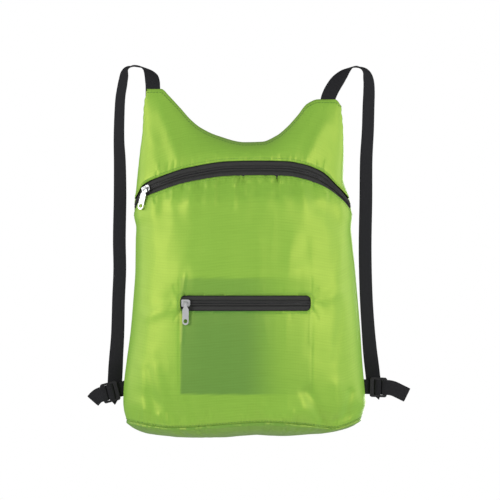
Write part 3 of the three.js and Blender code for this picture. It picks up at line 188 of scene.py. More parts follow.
# %% Large folds
# from across and height, to across and height, spread, rise as a share of the depth
FRONT_FOLDS = [
    (-0.62, 0.39, 0.62, 0.39, 0.11, -0.045), (-0.45, 0.47, 0.5, 0.475, 0.09, 0.03),
    (-0.86, 0.35, -0.58, 0.385, 0.05, 0.028), (0.6, 0.385, 0.84, 0.42, 0.05, 0.028),
    (-0.98, 0.604, -0.62, 0.655, 0.07, -0.02), (0.98, 0.602, 0.7, 0.66, 0.07, -0.025),
    (-0.5, 0.68, 0.55, 0.68, 0.12, 0.04), (-0.86, 0.1, -0.66, 0.05, 0.06, 0.03),
    (-0.78, 0.125, -0.55, 0.07, 0.06, -0.028), (0.93, 0.085, 0.78, 0.055, 0.05, -0.05),
    (-0.8, 0.93, -0.62, 0.8, 0.07, 0.035), (0.8, 0.9, 0.62, 0.79, 0.07, 0.035)]
BACK_FOLDS = [
    (0.0, 0.15, 0.0, 0.66, 0.3, -0.07), (-0.7, 0.86, -0.35, 0.66, 0.08, 0.08),
    (0.7, 0.84, 0.35, 0.66, 0.08, 0.08), (-0.85, 0.13, -0.4, 0.08, 0.07, -0.08),
    (0.85, 0.13, 0.4, 0.09, 0.07, -0.08)]
GATHER_PITCH = 27
GATHER_RISE = 0.8
GATHER_CREST_BELOW = 13


def half_width(z, across):
    up = z / BAG_HEIGHT
    return HALF_WIDTH * np.where(across < 0, left_line(up), right_line(up))


def zip_height(across):
    return BAG_HEIGHT * zip_line(across)


def top_height(across):
    return BAG_HEIGHT * top_line(across)


def seam_height(side, across):
    level = gusset_seam(across)
    if side == BACK:
        ends = gusset_seam(np.array([-1.0, 1.0]))
        level = ends[0] + (ends[1] - ends[0]) * (across + 1) / 2
    return GUSSET_HEIGHT * level


def bell(off, reach):
    """1 on a line and dying away to both sides of it, within about twice the reach."""
    return np.exp(-(off / reach) ** 2)


def ease(share):
    """Goes from 0 to 1 with a soft start and a soft end."""
    share = np.clip(share, 0, 1)
    return share * share * (3 - 2 * share)


def stroke_rise(x, z, stroke):
    """How far one stroke lifts the places x, z: a line with a rounded cross section."""
    x0, z0, x1, z1, spread, rise = stroke
    along_x, along_z = x1 - x0, z1 - z0
    t = ((x - x0) * along_x + (z - z0) * along_z) / (along_x ** 2 + along_z ** 2)
    t = np.clip(t, 0, 1)
    return rise * bell(np.hypot(x - x0 - t * along_x, z - z0 - t * along_z), spread)


def large_relief(side, across, z):
    up = z / BAG_HEIGHT
    tall = BAG_HEIGHT / HALF_WIDTH
    folds, depth = (FRONT_FOLDS, FRONT_DEPTH) if side == FRONT else (BACK_FOLDS, BACK_DEPTH)
    rise = np.zeros(np.shape(across + z))
    for x0, up0, x1, up1, spread, height in folds:
        fold = (x0, up0 * tall, x1, up1 * tall, spread, height * depth)
        rise += stroke_rise(across, up * tall, fold)
    if side == FRONT:
        rise -= ZIP_SINK * bell(z - zip_height(across), ZIP_SINK_REACH)
        below = np.maximum(zip_height(across) - ZIP_WINDOW / 2 - z, 0) / GATHER_CREST_BELOW
        wave = np.sin(2 * np.pi * across * HALF_WIDTH / GATHER_PITCH)
        rise += GATHER_RISE * wave * below * np.exp(1 - below)
    return rise * (1 - np.abs(across) ** 10)


# %% [markdown]
# ### Small gathers and puckers
# The seamster eases the longer cloth into the shorter zip, so little gathers run down from the
# stitches, and the same happens along every seam. They could be sculpted one by one. As short
# strokes with a length and a depth they can be tuned by looking, and they stay sharp where they
# start. Wide shallow creases from folding lie under them.

# %% Small gathers and puckers
# x of the gather, how deep it is and how far it runs down from the arched zip
ZIP_GATHERS = [
    (-92, 0.45, 20), (-78, -0.5, 22), (-68, 0.55, 26), (-57, -0.6, 24), (-47, 0.6, 30),
    (-38, 0.8, 34), (-31, -0.7, 26), (-22, -0.5, 20), (-13, 0.9, 40), (-7, -0.8, 20),
    (-1, -1.15, 26), (6, 0.6, 22), (14, -0.5, 20), (20, 0.6, 26), (28, -0.7, 14),
    (34, 0.8, 20), (41, -1.05, 24), (47, 0.7, 26), (58, -0.5, 18), (72, 0.5, 24),
    (88, -0.45, 20), (101, 0.4, 22)]
# Folds by the bottom seam: start, end, spread, rise
LOW_FOLDS = [
    (50, 30, 76, 40, 17, 6.0), (80, 62, 108, 12, 8, -4.0), (118, 70, 126, 12, 10, 2.0),
    (-112, 92, -96, 10, 8, 1.1), (-124, 90, -112, 10, 7, -1.0), (-97, 78, -84, 10, 8, -0.9),
    (-132, 95, -124, 12, 7, 1.4), (136, 60, 125, 12, 5, -2.2), (20, 46, 42, 12, 7, 1.2),
    (-34, 44, -12, 12, 8, 1.2), (-70, 56, -58, 12, 7, -1.2)]
# Around the pocket's window: place on its edge, direction in degrees, length, depth
POCKET_PUCKERS = [
    (-83, 6, 120, 16, -0.7), (-83, 3, 150, 11, 0.5), (-84, 0, 180, 10, -0.6),
    (-83, -4, 205, 12, 0.5), (-82, -8, 235, 14, -0.6), (-80, 10, 82, 26, 0.7),
    (-79, -10, 268, 40, 0.6), (86, 6, 60, 12, -0.6), (86, 2, 25, 10, 0.5),
    (87, -1, 0, 9, -0.5), (86, -5, -30, 12, 0.5), (85, -8, -60, 14, -0.6),
    (83, -10, -92, 40, 0.5), (-20, 10, 92, 9, 0.45), (2, 10, 88, 8, -0.4),
    (22, 10, 90, 10, 0.45), (46, 10, 84, 9, -0.4), (-40, -10, 270, 8, -0.35),
    (12, -10, 268, 9, 0.35), (58, -10, 270, 8, -0.35)]
GATHER_SPREAD = 1.9
PUCKER_SPREAD = 1.9
SEAM_PUCKER_EVERY = 9
HALF_AT_ZIP, HALF_AT_BOTTOM, HALF_AT_NECK = 140, 150, 130
cloth_draw = random.Random(11)


def seam_at(line, x, half):
    """Height of a seam's line over the place x, where the panel is about twice half wide."""
    return float(line(np.array(x / half)))


def either_way(low, high):
    """A drawn depth of a crease, out of the cloth or into it."""
    return cloth_draw.choice([-1, 1]) * cloth_draw.uniform(low, high)

# %% [markdown]
# ### Wandering creases
# Cloth that was folded and stuffed keeps shallow creases that wander. A sculptor would draw them
# by hand. Here a table of drawn numbers with soft steps between them gives a hilly pattern, and a
# crease runs wherever that pattern crosses zero. Layers of two or three sizes lie over each other.

# %% Wandering creases
def drawn_noise(seed, side=48):
    """A wandering pattern: a table of drawn numbers with rounded steps between them."""
    draw = random.Random(seed)
    table = np.array([[draw.uniform(-1, 1) for _ in range(side)] for _ in range(side)])

    def at(x, z):
        i, j = np.floor(x).astype(int), np.floor(z).astype(int)
        s, t = x - i, z - j
        s, t = ease(s), ease(t)
        i, j, k, m = i % side, j % side, (i + 1) % side, (j + 1) % side
        return ((table[i, j] * (1 - s) + table[k, j] * s) * (1 - t)
                + (table[i, m] * (1 - s) + table[k, m] * s) * t)
    return at


# width and height of the creases, how far they lift the cloth, how sharp they are
CRUMPLES = {
    "front": [(36, 110, 1.1, 0.15), (17, 48, 0.45, 0.1)],
    "yoke": [(34, 60, 0.9, 0.12), (15, 30, 0.35, 0.1)],
    "back": [(52, 64, 2.6, 0.06), (23, 30, 1.1, 0.05), (11, 13, 0.35, 0.06)]}
crumple_noise = drawn_noise(5)


def crumple(panel, x, z):
    rise = np.zeros(np.shape(x))
    for step, (wide, tall, lift, soft) in enumerate(CRUMPLES.get(panel, ())):
        value = crumple_noise(x / wide + 7.3 * step + 20, z / tall + 3.1 * step + 20)
        rise += lift * (0.45 - np.sqrt(value ** 2 + soft ** 2))
    return rise

# %% [markdown]
# ### Strokes of each panel
# The tables above and some drawn places become one list of strokes for each panel: gathers by the
# zips, puckers at every seam, and a few long faint creases. The draws come in a fixed order from
# one seed, so the cloth is the same in each run.

# %% Strokes of each panel
def front_strokes():
    strokes = []
    for x, depth, length in ZIP_GATHERS:
        top = seam_at(zip_height, x, HALF_AT_ZIP) - ZIP_WINDOW / 2
        lean = x * 0.02
        strokes.append((x, top + 4, x + lean, top - 0.3 * length, GATHER_SPREAD, 2.4 * depth))
        strokes.append((x, top, x + 2 * lean, top - length, 2 * GATHER_SPREAD, 0.9 * depth))
    strokes += LOW_FOLDS
    for x, z, degrees, length, depth in POCKET_PUCKERS:
        x0, z0 = POCKET_CENTRE_X + x, POCKET_ZIP_UP + z
        turn = math.radians(degrees)
        tip = (x0 + length * math.cos(turn), z0 + length * math.sin(turn))
        strokes.append((x0, z0, *tip, PUCKER_SPREAD, depth))
    for x in range(-138, 140, SEAM_PUCKER_EVERY):
        x0 = x + cloth_draw.uniform(-4, 4)
        z0 = seam_at(lambda across: seam_height(FRONT, across), x0, HALF_AT_BOTTOM)
        length = cloth_draw.uniform(7, 22)
        depth = either_way(0.5, 1.2)
        strokes.append((x0, z0, x0 + cloth_draw.uniform(-4, 4), z0 + length, 2.3, depth))
    for x in range(-130, 135, SEAM_PUCKER_EVERY):
        x0 = x + cloth_draw.uniform(-4, 4)
        z0 = seam_at(zip_height, x0, HALF_AT_ZIP) - ZIP_WINDOW / 2
        length = cloth_draw.uniform(5, 16)
        depth = either_way(0.3, 0.8)
        strokes.append((x0, z0, x0 + cloth_draw.uniform(-2, 2), z0 - length, 1.9, depth))
    for _ in range(26):
        x0 = cloth_draw.uniform(-135, 135)
        z0 = cloth_draw.uniform(40, 320)
        lean = cloth_draw.uniform(-10, 10)
        length = cloth_draw.uniform(25, 70)
        depth = either_way(0.25, 0.6)
        strokes.append((x0, z0, x0 + lean, z0 + length, cloth_draw.uniform(5, 9), depth))
    return strokes


def back_strokes():
    strokes = []
    for x in range(-140, 145, SEAM_PUCKER_EVERY):
        length = cloth_draw.uniform(10, 30)
        depth = either_way(0.4, 0.9)
        strokes.append((x, 22, x + cloth_draw.uniform(-6, 6), 22 + length, 3.2, depth))
    for hand in (-1, 1):
        for z in range(40, 400, 21):
            x0 = hand * 150
            reach = cloth_draw.uniform(12, 34)
            depth = either_way(0.4, 0.9)
            z0 = z + cloth_draw.uniform(-7, 7)
            strokes.append((x0, z0, x0 - hand * reach, z0 + cloth_draw.uniform(-9, 9), 3.4, depth))
    for _ in range(44):
        x0 = cloth_draw.uniform(-120, 120)
        z0 = cloth_draw.uniform(50, 400)
        turn = cloth_draw.uniform(0, math.pi)
        length = cloth_draw.uniform(25, 80)
        tip = (x0 + length * math.cos(turn), z0 + length * math.sin(turn))
        depth = either_way(0.4, 1.1)
        strokes.append((x0, z0, *tip, cloth_draw.uniform(5, 10), depth))
    return strokes


def yoke_strokes():
    strokes = []
    for x in range(-125, 128, SEAM_PUCKER_EVERY):
        x0 = x + cloth_draw.uniform(-4, 4)
        z0 = seam_at(zip_height, x0, HALF_AT_ZIP) + ZIP_WINDOW / 2
        length = cloth_draw.uniform(5, 14)
        depth = either_way(0.3, 0.8)
        strokes.append((x0, z0, x0 + cloth_draw.uniform(-2, 2), z0 + length, 1.9, depth))
        z1 = seam_at(top_height, x0, HALF_AT_NECK)
        length = cloth_draw.uniform(5, 14)
        depth = either_way(0.3, 0.7)
        strokes.append((x0, z1, x0 + cloth_draw.uniform(-3, 3), z1 - length, 2.0, depth))
    for _ in range(18):
        x0 = cloth_draw.uniform(-125, 120)
        z0 = cloth_draw.uniform(350, 400)
        length = cloth_draw.uniform(15, 45)
        depth = either_way(0.25, 0.5)
        strokes.append((x0, z0, x0 + 0.15 * x0 + 1, z0 + length, cloth_draw.uniform(4, 8), depth))
    return strokes


STROKES = {"front": front_strokes(), "back": back_strokes(), "yoke": yoke_strokes()}
print("small folds", {name: len(rows) for name, rows in STROKES.items()})

# %% [markdown]
# ## From numbers to a surface
# A place on the cloth is a "turn" round the bag and a height. The section is a rounded box, full in
# the middle and falling off at the seams, and near the neck it closes to the top edge. Sewn edges
# dip a little, because the thread pulls the cloth in.

# %% Surface of the stuffed bag
SEAM_DIP = 2.0
SEAM_DIP_REACH = 2.8
SIDE_GROOVE = 1.6
SIDE_GROOVE_REACH = 3.0
SIDE_PUCKER = 13
HEM_DIP = 0.9
HEM_DIP_REACH = 1.8
THREAD_DIP = 0.35
THREAD_IN = 3.2
POUCH_EDGE_DIP = 0.35
POUCH_EDGE_REACH = 1.6
SIDE_PUCKER_SHARE = 0.3


def across_of(turn):
    return np.sin(turn * np.pi / 2)


def small_relief(panel, across, z):
    x = across * half_width(z, across)
    rise = np.zeros(np.shape(x))
    for stroke in STROKES.get(panel, ()):
        rise += stroke_rise(x, z, stroke)
    rise += crumple(panel, x, z)
    if panel == "front":
        hem = zip_height(across) - ZIP_WINDOW / 2 - z
        rise -= HEM_DIP * bell(hem, HEM_DIP_REACH)
        rise -= THREAD_DIP * bell(hem - THREAD_IN, 1)
        rise -= SEAM_DIP * bell(z - seam_height(FRONT, across), SEAM_DIP_REACH)
        window_x = np.abs(x - POCKET_CENTRE_X) - POCKET_LENGTH / 2 + POCKET_CORNER
        window_z = np.abs(z - POCKET_ZIP_UP) - POCKET_WINDOW / 2 + POCKET_CORNER
        off = np.hypot(np.maximum(window_x, 0), np.maximum(window_z, 0)) - POCKET_CORNER
        rise -= HEM_DIP * bell(off, HEM_DIP_REACH)
        rise -= THREAD_DIP * bell(off - THREAD_IN, 1)
        edge_x = np.abs(np.abs(x - POCKET_CENTRE_X) - POUCH_SHOWN_WIDTH / 2)
        low, high = POCKET_ZIP_UP - POUCH_BELOW_ZIP, POCKET_ZIP_UP + POUCH_ABOVE_ZIP
        within = (z > low) & (z < high)
        rise -= POUCH_EDGE_DIP * bell(edge_x, POUCH_EDGE_REACH) * within
    if panel == "yoke":
        hem = z - zip_height(across) - ZIP_WINDOW / 2
        rise -= HEM_DIP * bell(hem, HEM_DIP_REACH)
        rise -= THREAD_DIP * bell(hem - THREAD_IN, 1)
    if panel == "back":
        rise -= SEAM_DIP * bell(z - seam_height(BACK, across), SEAM_DIP_REACH)
    return rise * (1 - np.abs(across) ** 24)


def surface(panel, turn, z):
    """Outer face of the cloth, in the bag's frame, for arrays of turns and heights."""
    side = BACK if panel == "back" else FRONT
    across = across_of(turn)
    up = z / BAG_HEIGHT
    depth = FRONT_DEPTH * front_line(up) if side == FRONT else BACK_DEPTH * back_line(up)
    full = np.maximum(1 - np.abs(across) ** SECTION_FULLNESS, 0) ** (1 / SECTION_FULLNESS)
    start = zip_height(across) + ZIP_WINDOW / 2
    closed = np.clip((z - start) / (top_height(across) - start), 0, 1)
    close = np.sqrt(1 - closed ** 2)
    rise = large_relief(side, across, z) + small_relief(panel, across, z)
    out = np.maximum(depth * full + rise, 0) * close
    wave = np.sin(2 * np.pi * z / SIDE_PUCKER + 1.7 * np.sin(z / 23))
    pucker = 1 + SIDE_PUCKER_SHARE * wave
    groove = SIDE_GROOVE * pucker * bell(out, SIDE_GROOVE_REACH) * np.abs(across) ** 30
    x = across * half_width(z, across) - np.sign(across) * groove
    return np.stack([x, side * out, z + 0 * across], axis=-1)


def outward(panel, turn, z):
    """Which way the cloth faces, from two short steps along it."""
    side = BACK if panel == "back" else FRONT
    step_turn, step_z = 0.004, 0.5
    top = top_height(across_of(turn))
    along = (surface(panel, np.minimum(turn + step_turn, 1), z)
             - surface(panel, np.maximum(turn - step_turn, -1), z))
    upward = (surface(panel, turn, np.minimum(z + step_z, top))
              - surface(panel, turn, np.minimum(z, top) - step_z))
    normal = -side * np.cross(along, upward)
    return normal / np.maximum(np.linalg.norm(normal, axis=-1, keepdims=True), 1e-9)


def turn_at(x, z):
    return 2 / np.pi * np.arcsin(np.clip(x / half_width(z, x), -1, 1))


def metres(points):
    return (np.asarray(points, float) - HANGING_POINT) / 1000


middle = metres(surface("front", np.array(0.0), np.array(150.0)))
print("middle of the front", [round(v, 4) for v in middle])

# %% [markdown]
# ## Turning a surface into cloth
# Cloth here is a grid of quads that follows the surface, with a map of its own warp and weft in
# metres, so that the weave runs with the cloth and not through it. A Solidify modifier gives the
# sheet its wall, inwards from the face that was drawn.

# %% Helpers for meshes
def new_piece(name, points, faces, uvs=None):
    mesh = bpy.data.meshes.new(name)
    mesh.from_pydata([tuple(p) for p in points], [], [tuple(f) for f in faces])
    if uvs is not None:
        layer = mesh.uv_layers.new(name="weave")
        corners = np.zeros(len(mesh.loops), dtype=np.int32)
        mesh.loops.foreach_get("vertex_index", corners)
        layer.data.foreach_set("uv", np.asarray(uvs, float)[corners].ravel())
    mesh.validate()
    piece = bpy.data.objects.new(name, mesh)
    bpy.context.collection.objects.link(piece)
    mesh.shade_smooth()
    return piece


def alone(piece):
    bpy.ops.object.select_all(action="DESELECT")
    piece.select_set(True)
    bpy.context.view_layer.objects.active = piece


def edit_all(piece, *operations):
    """Runs operations in edit mode with all of the piece selected."""
    alone(piece)
    bpy.ops.object.mode_set(mode="EDIT")
    bpy.ops.mesh.select_all(action="SELECT")
    for operation in operations:
        operation()
    bpy.ops.object.mode_set(mode="OBJECT")


def face_outwards():
    bpy.ops.mesh.normals_make_consistent(inside=False)


def modify(piece, kind, **settings):
    """Adds a modifier, gives it its settings and applies it."""
    modifier = piece.modifiers.new(kind.title(), kind)
    for setting, value in settings.items():
        setattr(modifier, setting, value)
    alone(piece)
    bpy.ops.object.modifier_apply(modifier=modifier.name)


def grid_faces(columns, rows, is_loop=False, flip=False):
    i, j = np.meshgrid(np.arange(columns if is_loop else columns - 1), np.arange(rows - 1),
                       indexing="ij")
    k = (i + 1) % columns
    faces = np.stack([i * rows + j, k * rows + j, k * rows + j + 1, i * rows + j + 1], axis=-1)
    faces = faces.reshape(-1, 4)
    return faces[:, ::-1] if flip else faces


def grid_uvs(points):
    """Distances along the cloth from its middle column and lowest row, in metres."""
    columns, rows = points.shape[:2]
    run = np.linalg.norm(np.diff(points, axis=0), axis=-1)
    climb = np.linalg.norm(np.diff(points, axis=1), axis=-1)
    u = np.concatenate([np.zeros((1, rows)), np.cumsum(run, axis=0)])
    v = np.concatenate([np.zeros((columns, 1)), np.cumsum(climb, axis=1)], axis=1)
    u = u - u[columns // 2]
    return np.stack([u, v], axis=-1).reshape(-1, 2) / 1000


def run_along(line):
    """How far along a line of points each of them lies."""
    return np.concatenate([[0], np.cumsum(np.linalg.norm(np.diff(line, axis=0), axis=1))])


def tube_faces(rings, sides):
    """Quads between rings of points, and a face that closes each end."""
    faces = [(i * sides + j, i * sides + (j + 1) % sides, (i + 1) * sides + (j + 1) % sides,
              (i + 1) * sides + j) for i in range(rings - 1) for j in range(sides)]
    last = (rings - 1) * sides
    return faces + [tuple(range(sides))[::-1], tuple(range(last, last + sides))]


def edge_weighted(count):
    """Even steps that crowd a little towards both ends."""
    share = np.linspace(0, 1, count)
    return 0.72 * share + 0.28 * (0.5 - 0.5 * np.cos(np.pi * share))


def report(piece):
    piece.data.calc_loop_triangles()
    print(piece.name, len(piece.data.loop_triangles), "triangles")


def declare(piece, node=None, body="bag"):
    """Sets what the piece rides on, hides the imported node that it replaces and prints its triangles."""
    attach(piece, body)
    if node:
        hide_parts(node)
    report(piece)


def cut_size(piece, points):
    """Prints what a panel measures along its weave, and its area, in metres."""
    across = np.linalg.norm(np.diff(points, axis=0), axis=-1).sum(axis=0).max() / 1000
    up = np.linalg.norm(np.diff(points, axis=1), axis=-1).sum(axis=1).max() / 1000
    area = sum(polygon.area for polygon in piece.data.polygons)
    print(piece.name, "is cut to", round(across, 3), "by", round(up, 3), "area", round(area, 4))


CLOTH_WALL = 0.0006


def finish_cloth(piece, node):
    modify(piece, "SOLIDIFY", thickness=CLOTH_WALL, offset=-1, use_even_offset=False)
    piece.data.shade_smooth()
    declare(piece, node)


# %% [markdown]
# ## The cloth panels
# The front panel runs from the bottom seam to the arched zip. Its pocket window is not cut with a
# boolean, which would leave a ragged edge on so thin a sheet: faces inside the window are left
# out, and the vertices round the hole slide to the window's rounded outline.

# %% Front panel
FRONT_COLUMNS, FRONT_ROWS = 300, 124


def panel_grid(columns, heights_of):
    turns = np.linspace(-1, 1, columns)
    across = across_of(turns)
    heights = heights_of(across)
    turn = np.repeat(turns[:, None], heights.shape[1], axis=1)
    return turn, heights


def between(low, high, count):
    share = edge_weighted(count)
    return lambda across: low(across)[:, None] + (high(across) - low(across))[:, None] * share


def window_place(x, z):
    """Distance outside the window's rounded outline, and the nearest place on it."""
    cx, cz = x - POCKET_CENTRE_X, z - POCKET_ZIP_UP
    flat = POCKET_LENGTH / 2 - POCKET_CORNER
    side = POCKET_WINDOW / 2 - POCKET_CORNER
    ax, az = np.clip(cx, -flat, flat), np.clip(cz, -side, side)
    dx, dz = cx - ax, cz - az
    inside = (dx == 0) & (dz == 0)
    to_x = flat + POCKET_CORNER - np.abs(cx)
    to_z = side + POCKET_CORNER - np.abs(cz)
    prefer_x = inside & (to_x < to_z)
    dx = np.where(prefer_x, np.sign(cx), np.where(inside, 0, dx))
    dz = np.where(prefer_x, 0, np.where(inside, np.where(cz < 0, -1, 1), dz))
    length = np.hypot(dx, dz)
    base_x = np.where(prefer_x, np.sign(cx) * flat, ax)
    base_z = np.where(inside & ~prefer_x, np.sign(cz) * side, az)
    place_x = base_x + dx / length * POCKET_CORNER
    place_z = base_z + dz / length * POCKET_CORNER
    distance = np.where(inside, -np.minimum(to_x, to_z), length - POCKET_CORNER)
    return distance, POCKET_CENTRE_X + place_x, POCKET_ZIP_UP + place_z


def build_front():
    low = lambda across: seam_height(FRONT, across)
    high = lambda across: zip_height(across) - ZIP_WINDOW / 2
    turn, z = panel_grid(FRONT_COLUMNS, between(low, high, FRONT_ROWS))
    points = surface("front", turn, z)
    uvs = grid_uvs(surface("plain", turn, z))
    faces = grid_faces(FRONT_COLUMNS, FRONT_ROWS)
    flat = points.reshape(-1, 3)
    centres = flat[faces].mean(axis=1)
    distance, _, _ = window_place(centres[:, 0], centres[:, 2])
    kept = faces[distance > 0]
    dropped = faces[distance <= 0]
    rim = np.intersect1d(np.unique(kept), np.unique(dropped))
    _, x, z_rim = window_place(flat[rim, 0], flat[rim, 2])
    flat[rim] = surface("front", turn_at(x, z_rim), z_rim)
    used, index = np.unique(kept, return_inverse=True)
    piece = new_piece("front_cloth", metres(flat[used]), index.reshape(-1, 4), uvs[used])
    cut_size(piece, points)
    return piece


front_cloth = build_front()
report(front_cloth)

# %% [markdown]
# ### The pouch's shadow
# The pocket's pouch is sewn behind the front panel, and two layers of thin cloth let less light
# through than one. Real light through cloth is slow to render and hard to steer, so the front
# carries a painted shade instead: a number on each vertex, strongest from the pouch's left edge to
# its middle, fading out towards its right and weaker above the zip. The material darkens by it.

# %% Where the pouch lies behind the front
POUCH_FADE = 2.5
POUCH_FADE_RIGHT = 60
POUCH_FADE_FROM = 6
POUCH_SHARE_ABOVE = 0.55
# share of painted shade over the whole gusset, which faces down
GUSSET_PAINTED_SHADE = 0.8


def paint_pouch_shade(piece):
    """Painted shade on each vertex: 1 over the pouch's left half, fading out to its right, 0 off it."""
    co = np.zeros(len(piece.data.vertices) * 3)
    piece.data.vertices.foreach_get("co", co)
    places = co.reshape(-1, 3) * 1000 + HANGING_POINT
    x, z = places[:, 0] - POCKET_CENTRE_X, places[:, 2]
    shade = ease((x + POUCH_SHOWN_WIDTH / 2) / POUCH_FADE)
    slow_fade = ease((x + POUCH_FADE_FROM) / POUCH_FADE_RIGHT)
    shade *= 1 - 0.9 * slow_fade - 0.1 * ease((x - POUCH_SHOWN_WIDTH / 2) / POUCH_FADE)
    shade *= ease((z - POCKET_ZIP_UP + POUCH_SHOWN_BELOW) / POUCH_FADE)
    shade *= ease((POCKET_ZIP_UP + POUCH_ABOVE_ZIP - z) / POUCH_FADE)
    shade *= np.where(z > POCKET_ZIP_UP, POUCH_SHARE_ABOVE, 1)
    layer = piece.data.attributes.new("painted_shade", "FLOAT", "POINT")
    layer.data.foreach_set("value", shade)


# painted shade over the pouch, on the front cloth's vertices
paint_pouch_shade(front_cloth)
print("pouch marked on", len(front_cloth.data.vertices), "vertices of the front")


# painted shade: the same share on every vertex of the piece
def paint_even_shade(piece, share):
    layer = piece.data.attributes.new("painted_shade", "FLOAT", "POINT")
    layer.data.foreach_set("value", np.full(len(piece.data.vertices), share))


# %% [markdown]
# ### Yoke, back and gusset
# The yoke runs from the arched zip to the scooped neck and closes onto the back panel there. The
# gusset is the boxed bottom: a strip that leaves the seam, turns under and meets itself. It could be
# one closed bag, but separate panels let each seam pull in by itself, as sewn cloth does.

# %% Yoke, back and gusset
YOKE_ROWS, BACK_COLUMNS, BACK_ROWS, BACK_TOP_ROWS = 48, 260, 120, 40
GUSSET_COLUMNS, GUSSET_ROWS = 520, 40
GUSSET_TUCK = 0.9
GUSSET_SWELL = 0.014
GUSSET_SWELL_AT = 0.1
GUSSET_SWELL_REACH = 0.07
FLOOR_SPREAD = 1.3
SAME_PLACE = 0.00002


def closing(count):
    low = lambda across: zip_height(across) + ZIP_WINDOW / 2
    share = np.sin(np.linspace(0, 1, count) * np.pi / 2)
    rise = lambda across: top_height(across) - low(across)
    return lambda across: low(across)[:, None] + rise(across)[:, None] * share


def build_yoke():
    turn, z = panel_grid(FRONT_COLUMNS, closing(YOKE_ROWS))
    points = surface("yoke", turn, z)
    faces = grid_faces(FRONT_COLUMNS, YOKE_ROWS)
    piece = new_piece("yoke_cloth", metres(points.reshape(-1, 3)), faces,
                      grid_uvs(surface("plain", turn, z)))
    cut_size(piece, points)
    return piece


def build_back():
    low = lambda across: seam_height(BACK, across)
    high = lambda across: zip_height(across) + ZIP_WINDOW / 2
    lower = between(low, high, BACK_ROWS)
    upper = closing(BACK_TOP_ROWS)
    rows = lambda across: np.concatenate([lower(across), upper(across)[:, 1:]], axis=1)
    turn, z = panel_grid(BACK_COLUMNS, rows)
    points = surface("back", turn, z)
    faces = grid_faces(*points.shape[:2], flip=True)
    piece = new_piece("back_cloth", metres(points.reshape(-1, 3)), faces, grid_uvs(points))
    cut_size(piece, points)
    return piece


def gusset_surface(loop, ring):
    is_front = loop <= 1
    turn = np.where(is_front, 2 * loop - 1, 3 - 2 * loop)
    across = across_of(turn)
    rim_height = np.where(is_front, seam_height(FRONT, across), seam_height(BACK, across))
    rim = np.where(is_front[..., None], surface("front", turn, rim_height),
                   surface("back", turn, rim_height))
    out = ring_out(ring) + GUSSET_SWELL * bell(ring - GUSSET_SWELL_AT, GUSSET_SWELL_REACH)
    out -= GUSSET_SWELL * bell(GUSSET_SWELL_AT, GUSSET_SWELL_REACH) * (ring == 0)
    spread = np.minimum(out * FLOOR_SPREAD, 1)
    floor = GUSSET_HEIGHT * (gusset_floor(np.zeros(1)) * (1 - spread)
                             + gusset_floor(across) * spread)
    points = rim * out[..., None]
    points[..., 1] *= np.minimum(out, 1) ** GUSSET_TUCK
    points[..., 2] = floor + (rim_height - floor) * ring_height(ring)
    return points


def build_gusset():
    loops = np.linspace(0, 2, GUSSET_COLUMNS, endpoint=False)
    loop, ring = np.meshgrid(loops, edge_weighted(GUSSET_ROWS), indexing="ij")
    points = gusset_surface(loop, ring)
    crinkle = np.zeros(loop.shape)
    for _ in range(70):
        at, wide = cloth_draw.uniform(0, 2), cloth_draw.uniform(0.006, 0.014)
        deep, reach = cloth_draw.uniform(-1.1, 1.1), cloth_draw.uniform(0.1, 0.45)
        off = np.abs((loop - at + 1) % 2 - 1)
        crinkle += deep * bell(off, wide) * bell(ring, reach)
    x, y = points[..., 0], points[..., 1]
    crinkle += crumple("back", x, y) * np.clip(ring * 4, 0, 1) * 0.6
    points[..., 2] -= crinkle * np.clip(ring * 12, 0, 1)
    climb = np.where(y < 0, -1, 1) * points[..., 2]
    uvs = np.stack([x, y + climb], axis=-1).reshape(-1, 2) / 1000
    faces = grid_faces(GUSSET_COLUMNS, GUSSET_ROWS, is_loop=True, flip=True)
    piece = new_piece("gusset_cloth", metres(points.reshape(-1, 3)), faces, uvs)
    cut_size(piece, points)
    edit_all(piece, lambda: bpy.ops.mesh.remove_doubles(threshold=SAME_PLACE))
    return piece


yoke_cloth, back_cloth, gusset_cloth = build_yoke(), build_back(), build_gusset()
for piece in (yoke_cloth, back_cloth, gusset_cloth):
    report(piece)

# %% [markdown]
# ### The pouch itself
# It is a flat patch of the same cloth behind the pocket's zip, sewn at its rim and lying a little
# deeper inside. It is hidden behind the front panel, which carries a painted shade for it, so a
# coarse grid is enough.

# %% Pouch behind the front panel
POUCH_DEPTH = 10
POUCH_RIM = 5
POUCH_SEAT = 2.4


def build_pouch():
    half = POUCH_WIDTH / 2
    low, high = POCKET_ZIP_UP - POUCH_BELOW_ZIP, POCKET_ZIP_UP + POUCH_ABOVE_ZIP
    share = np.linspace(0, 1, 45)
    xs = POCKET_CENTRE_X - half + POUCH_WIDTH * share
    zs = low + (high - low) * share
    x, z = np.meshgrid(xs, zs, indexing="ij")
    edge = np.minimum(np.minimum(x - xs[0], xs[-1] - x), np.minimum(z - low, high - z))
    sink = POUCH_SEAT + (POUCH_DEPTH - POUCH_SEAT) * np.clip(edge / POUCH_RIM, 0, 1)
    turn = turn_at(x, z)
    points = surface("plain", turn, z) - sink[..., None] * outward("plain", turn, z)
    piece = new_piece("pouch_cloth", metres(points.reshape(-1, 3)), grid_faces(45, 45),
                      grid_uvs(points))
    cut_size(piece, points)
    return piece


pouch_cloth = build_pouch()
report(pouch_cloth)

# %% [markdown]
# ### Walls of the cloth
# Every panel gets its wall, and takes the place of the plain solid that stood for it. The gusset
# gets a painted shade all over, because the bottom of the bag faces down and looks darker.

# %% Walls and rides of the cloth
paint_even_shade(gusset_cloth, GUSSET_PAINTED_SHADE)
finish_cloth(front_cloth, "front_panel")
finish_cloth(yoke_cloth, "yoke_panel")
finish_cloth(back_cloth, "back_panel")
finish_cloth(gusset_cloth, "bottom_panel")
finish_cloth(pouch_cloth, "pocket_pouch")

# %% [markdown]
# ### The rolled neck edge
# Front and back meet at the neck in a hem that is rolled over once and sewn down, so the edge is
# round, and its cloth is drawn a darker green. It is one ring of eight points swept along the neck.

# %% Neck hem
HEM_RADIUS = 1.1
HEM_SIDES = 8


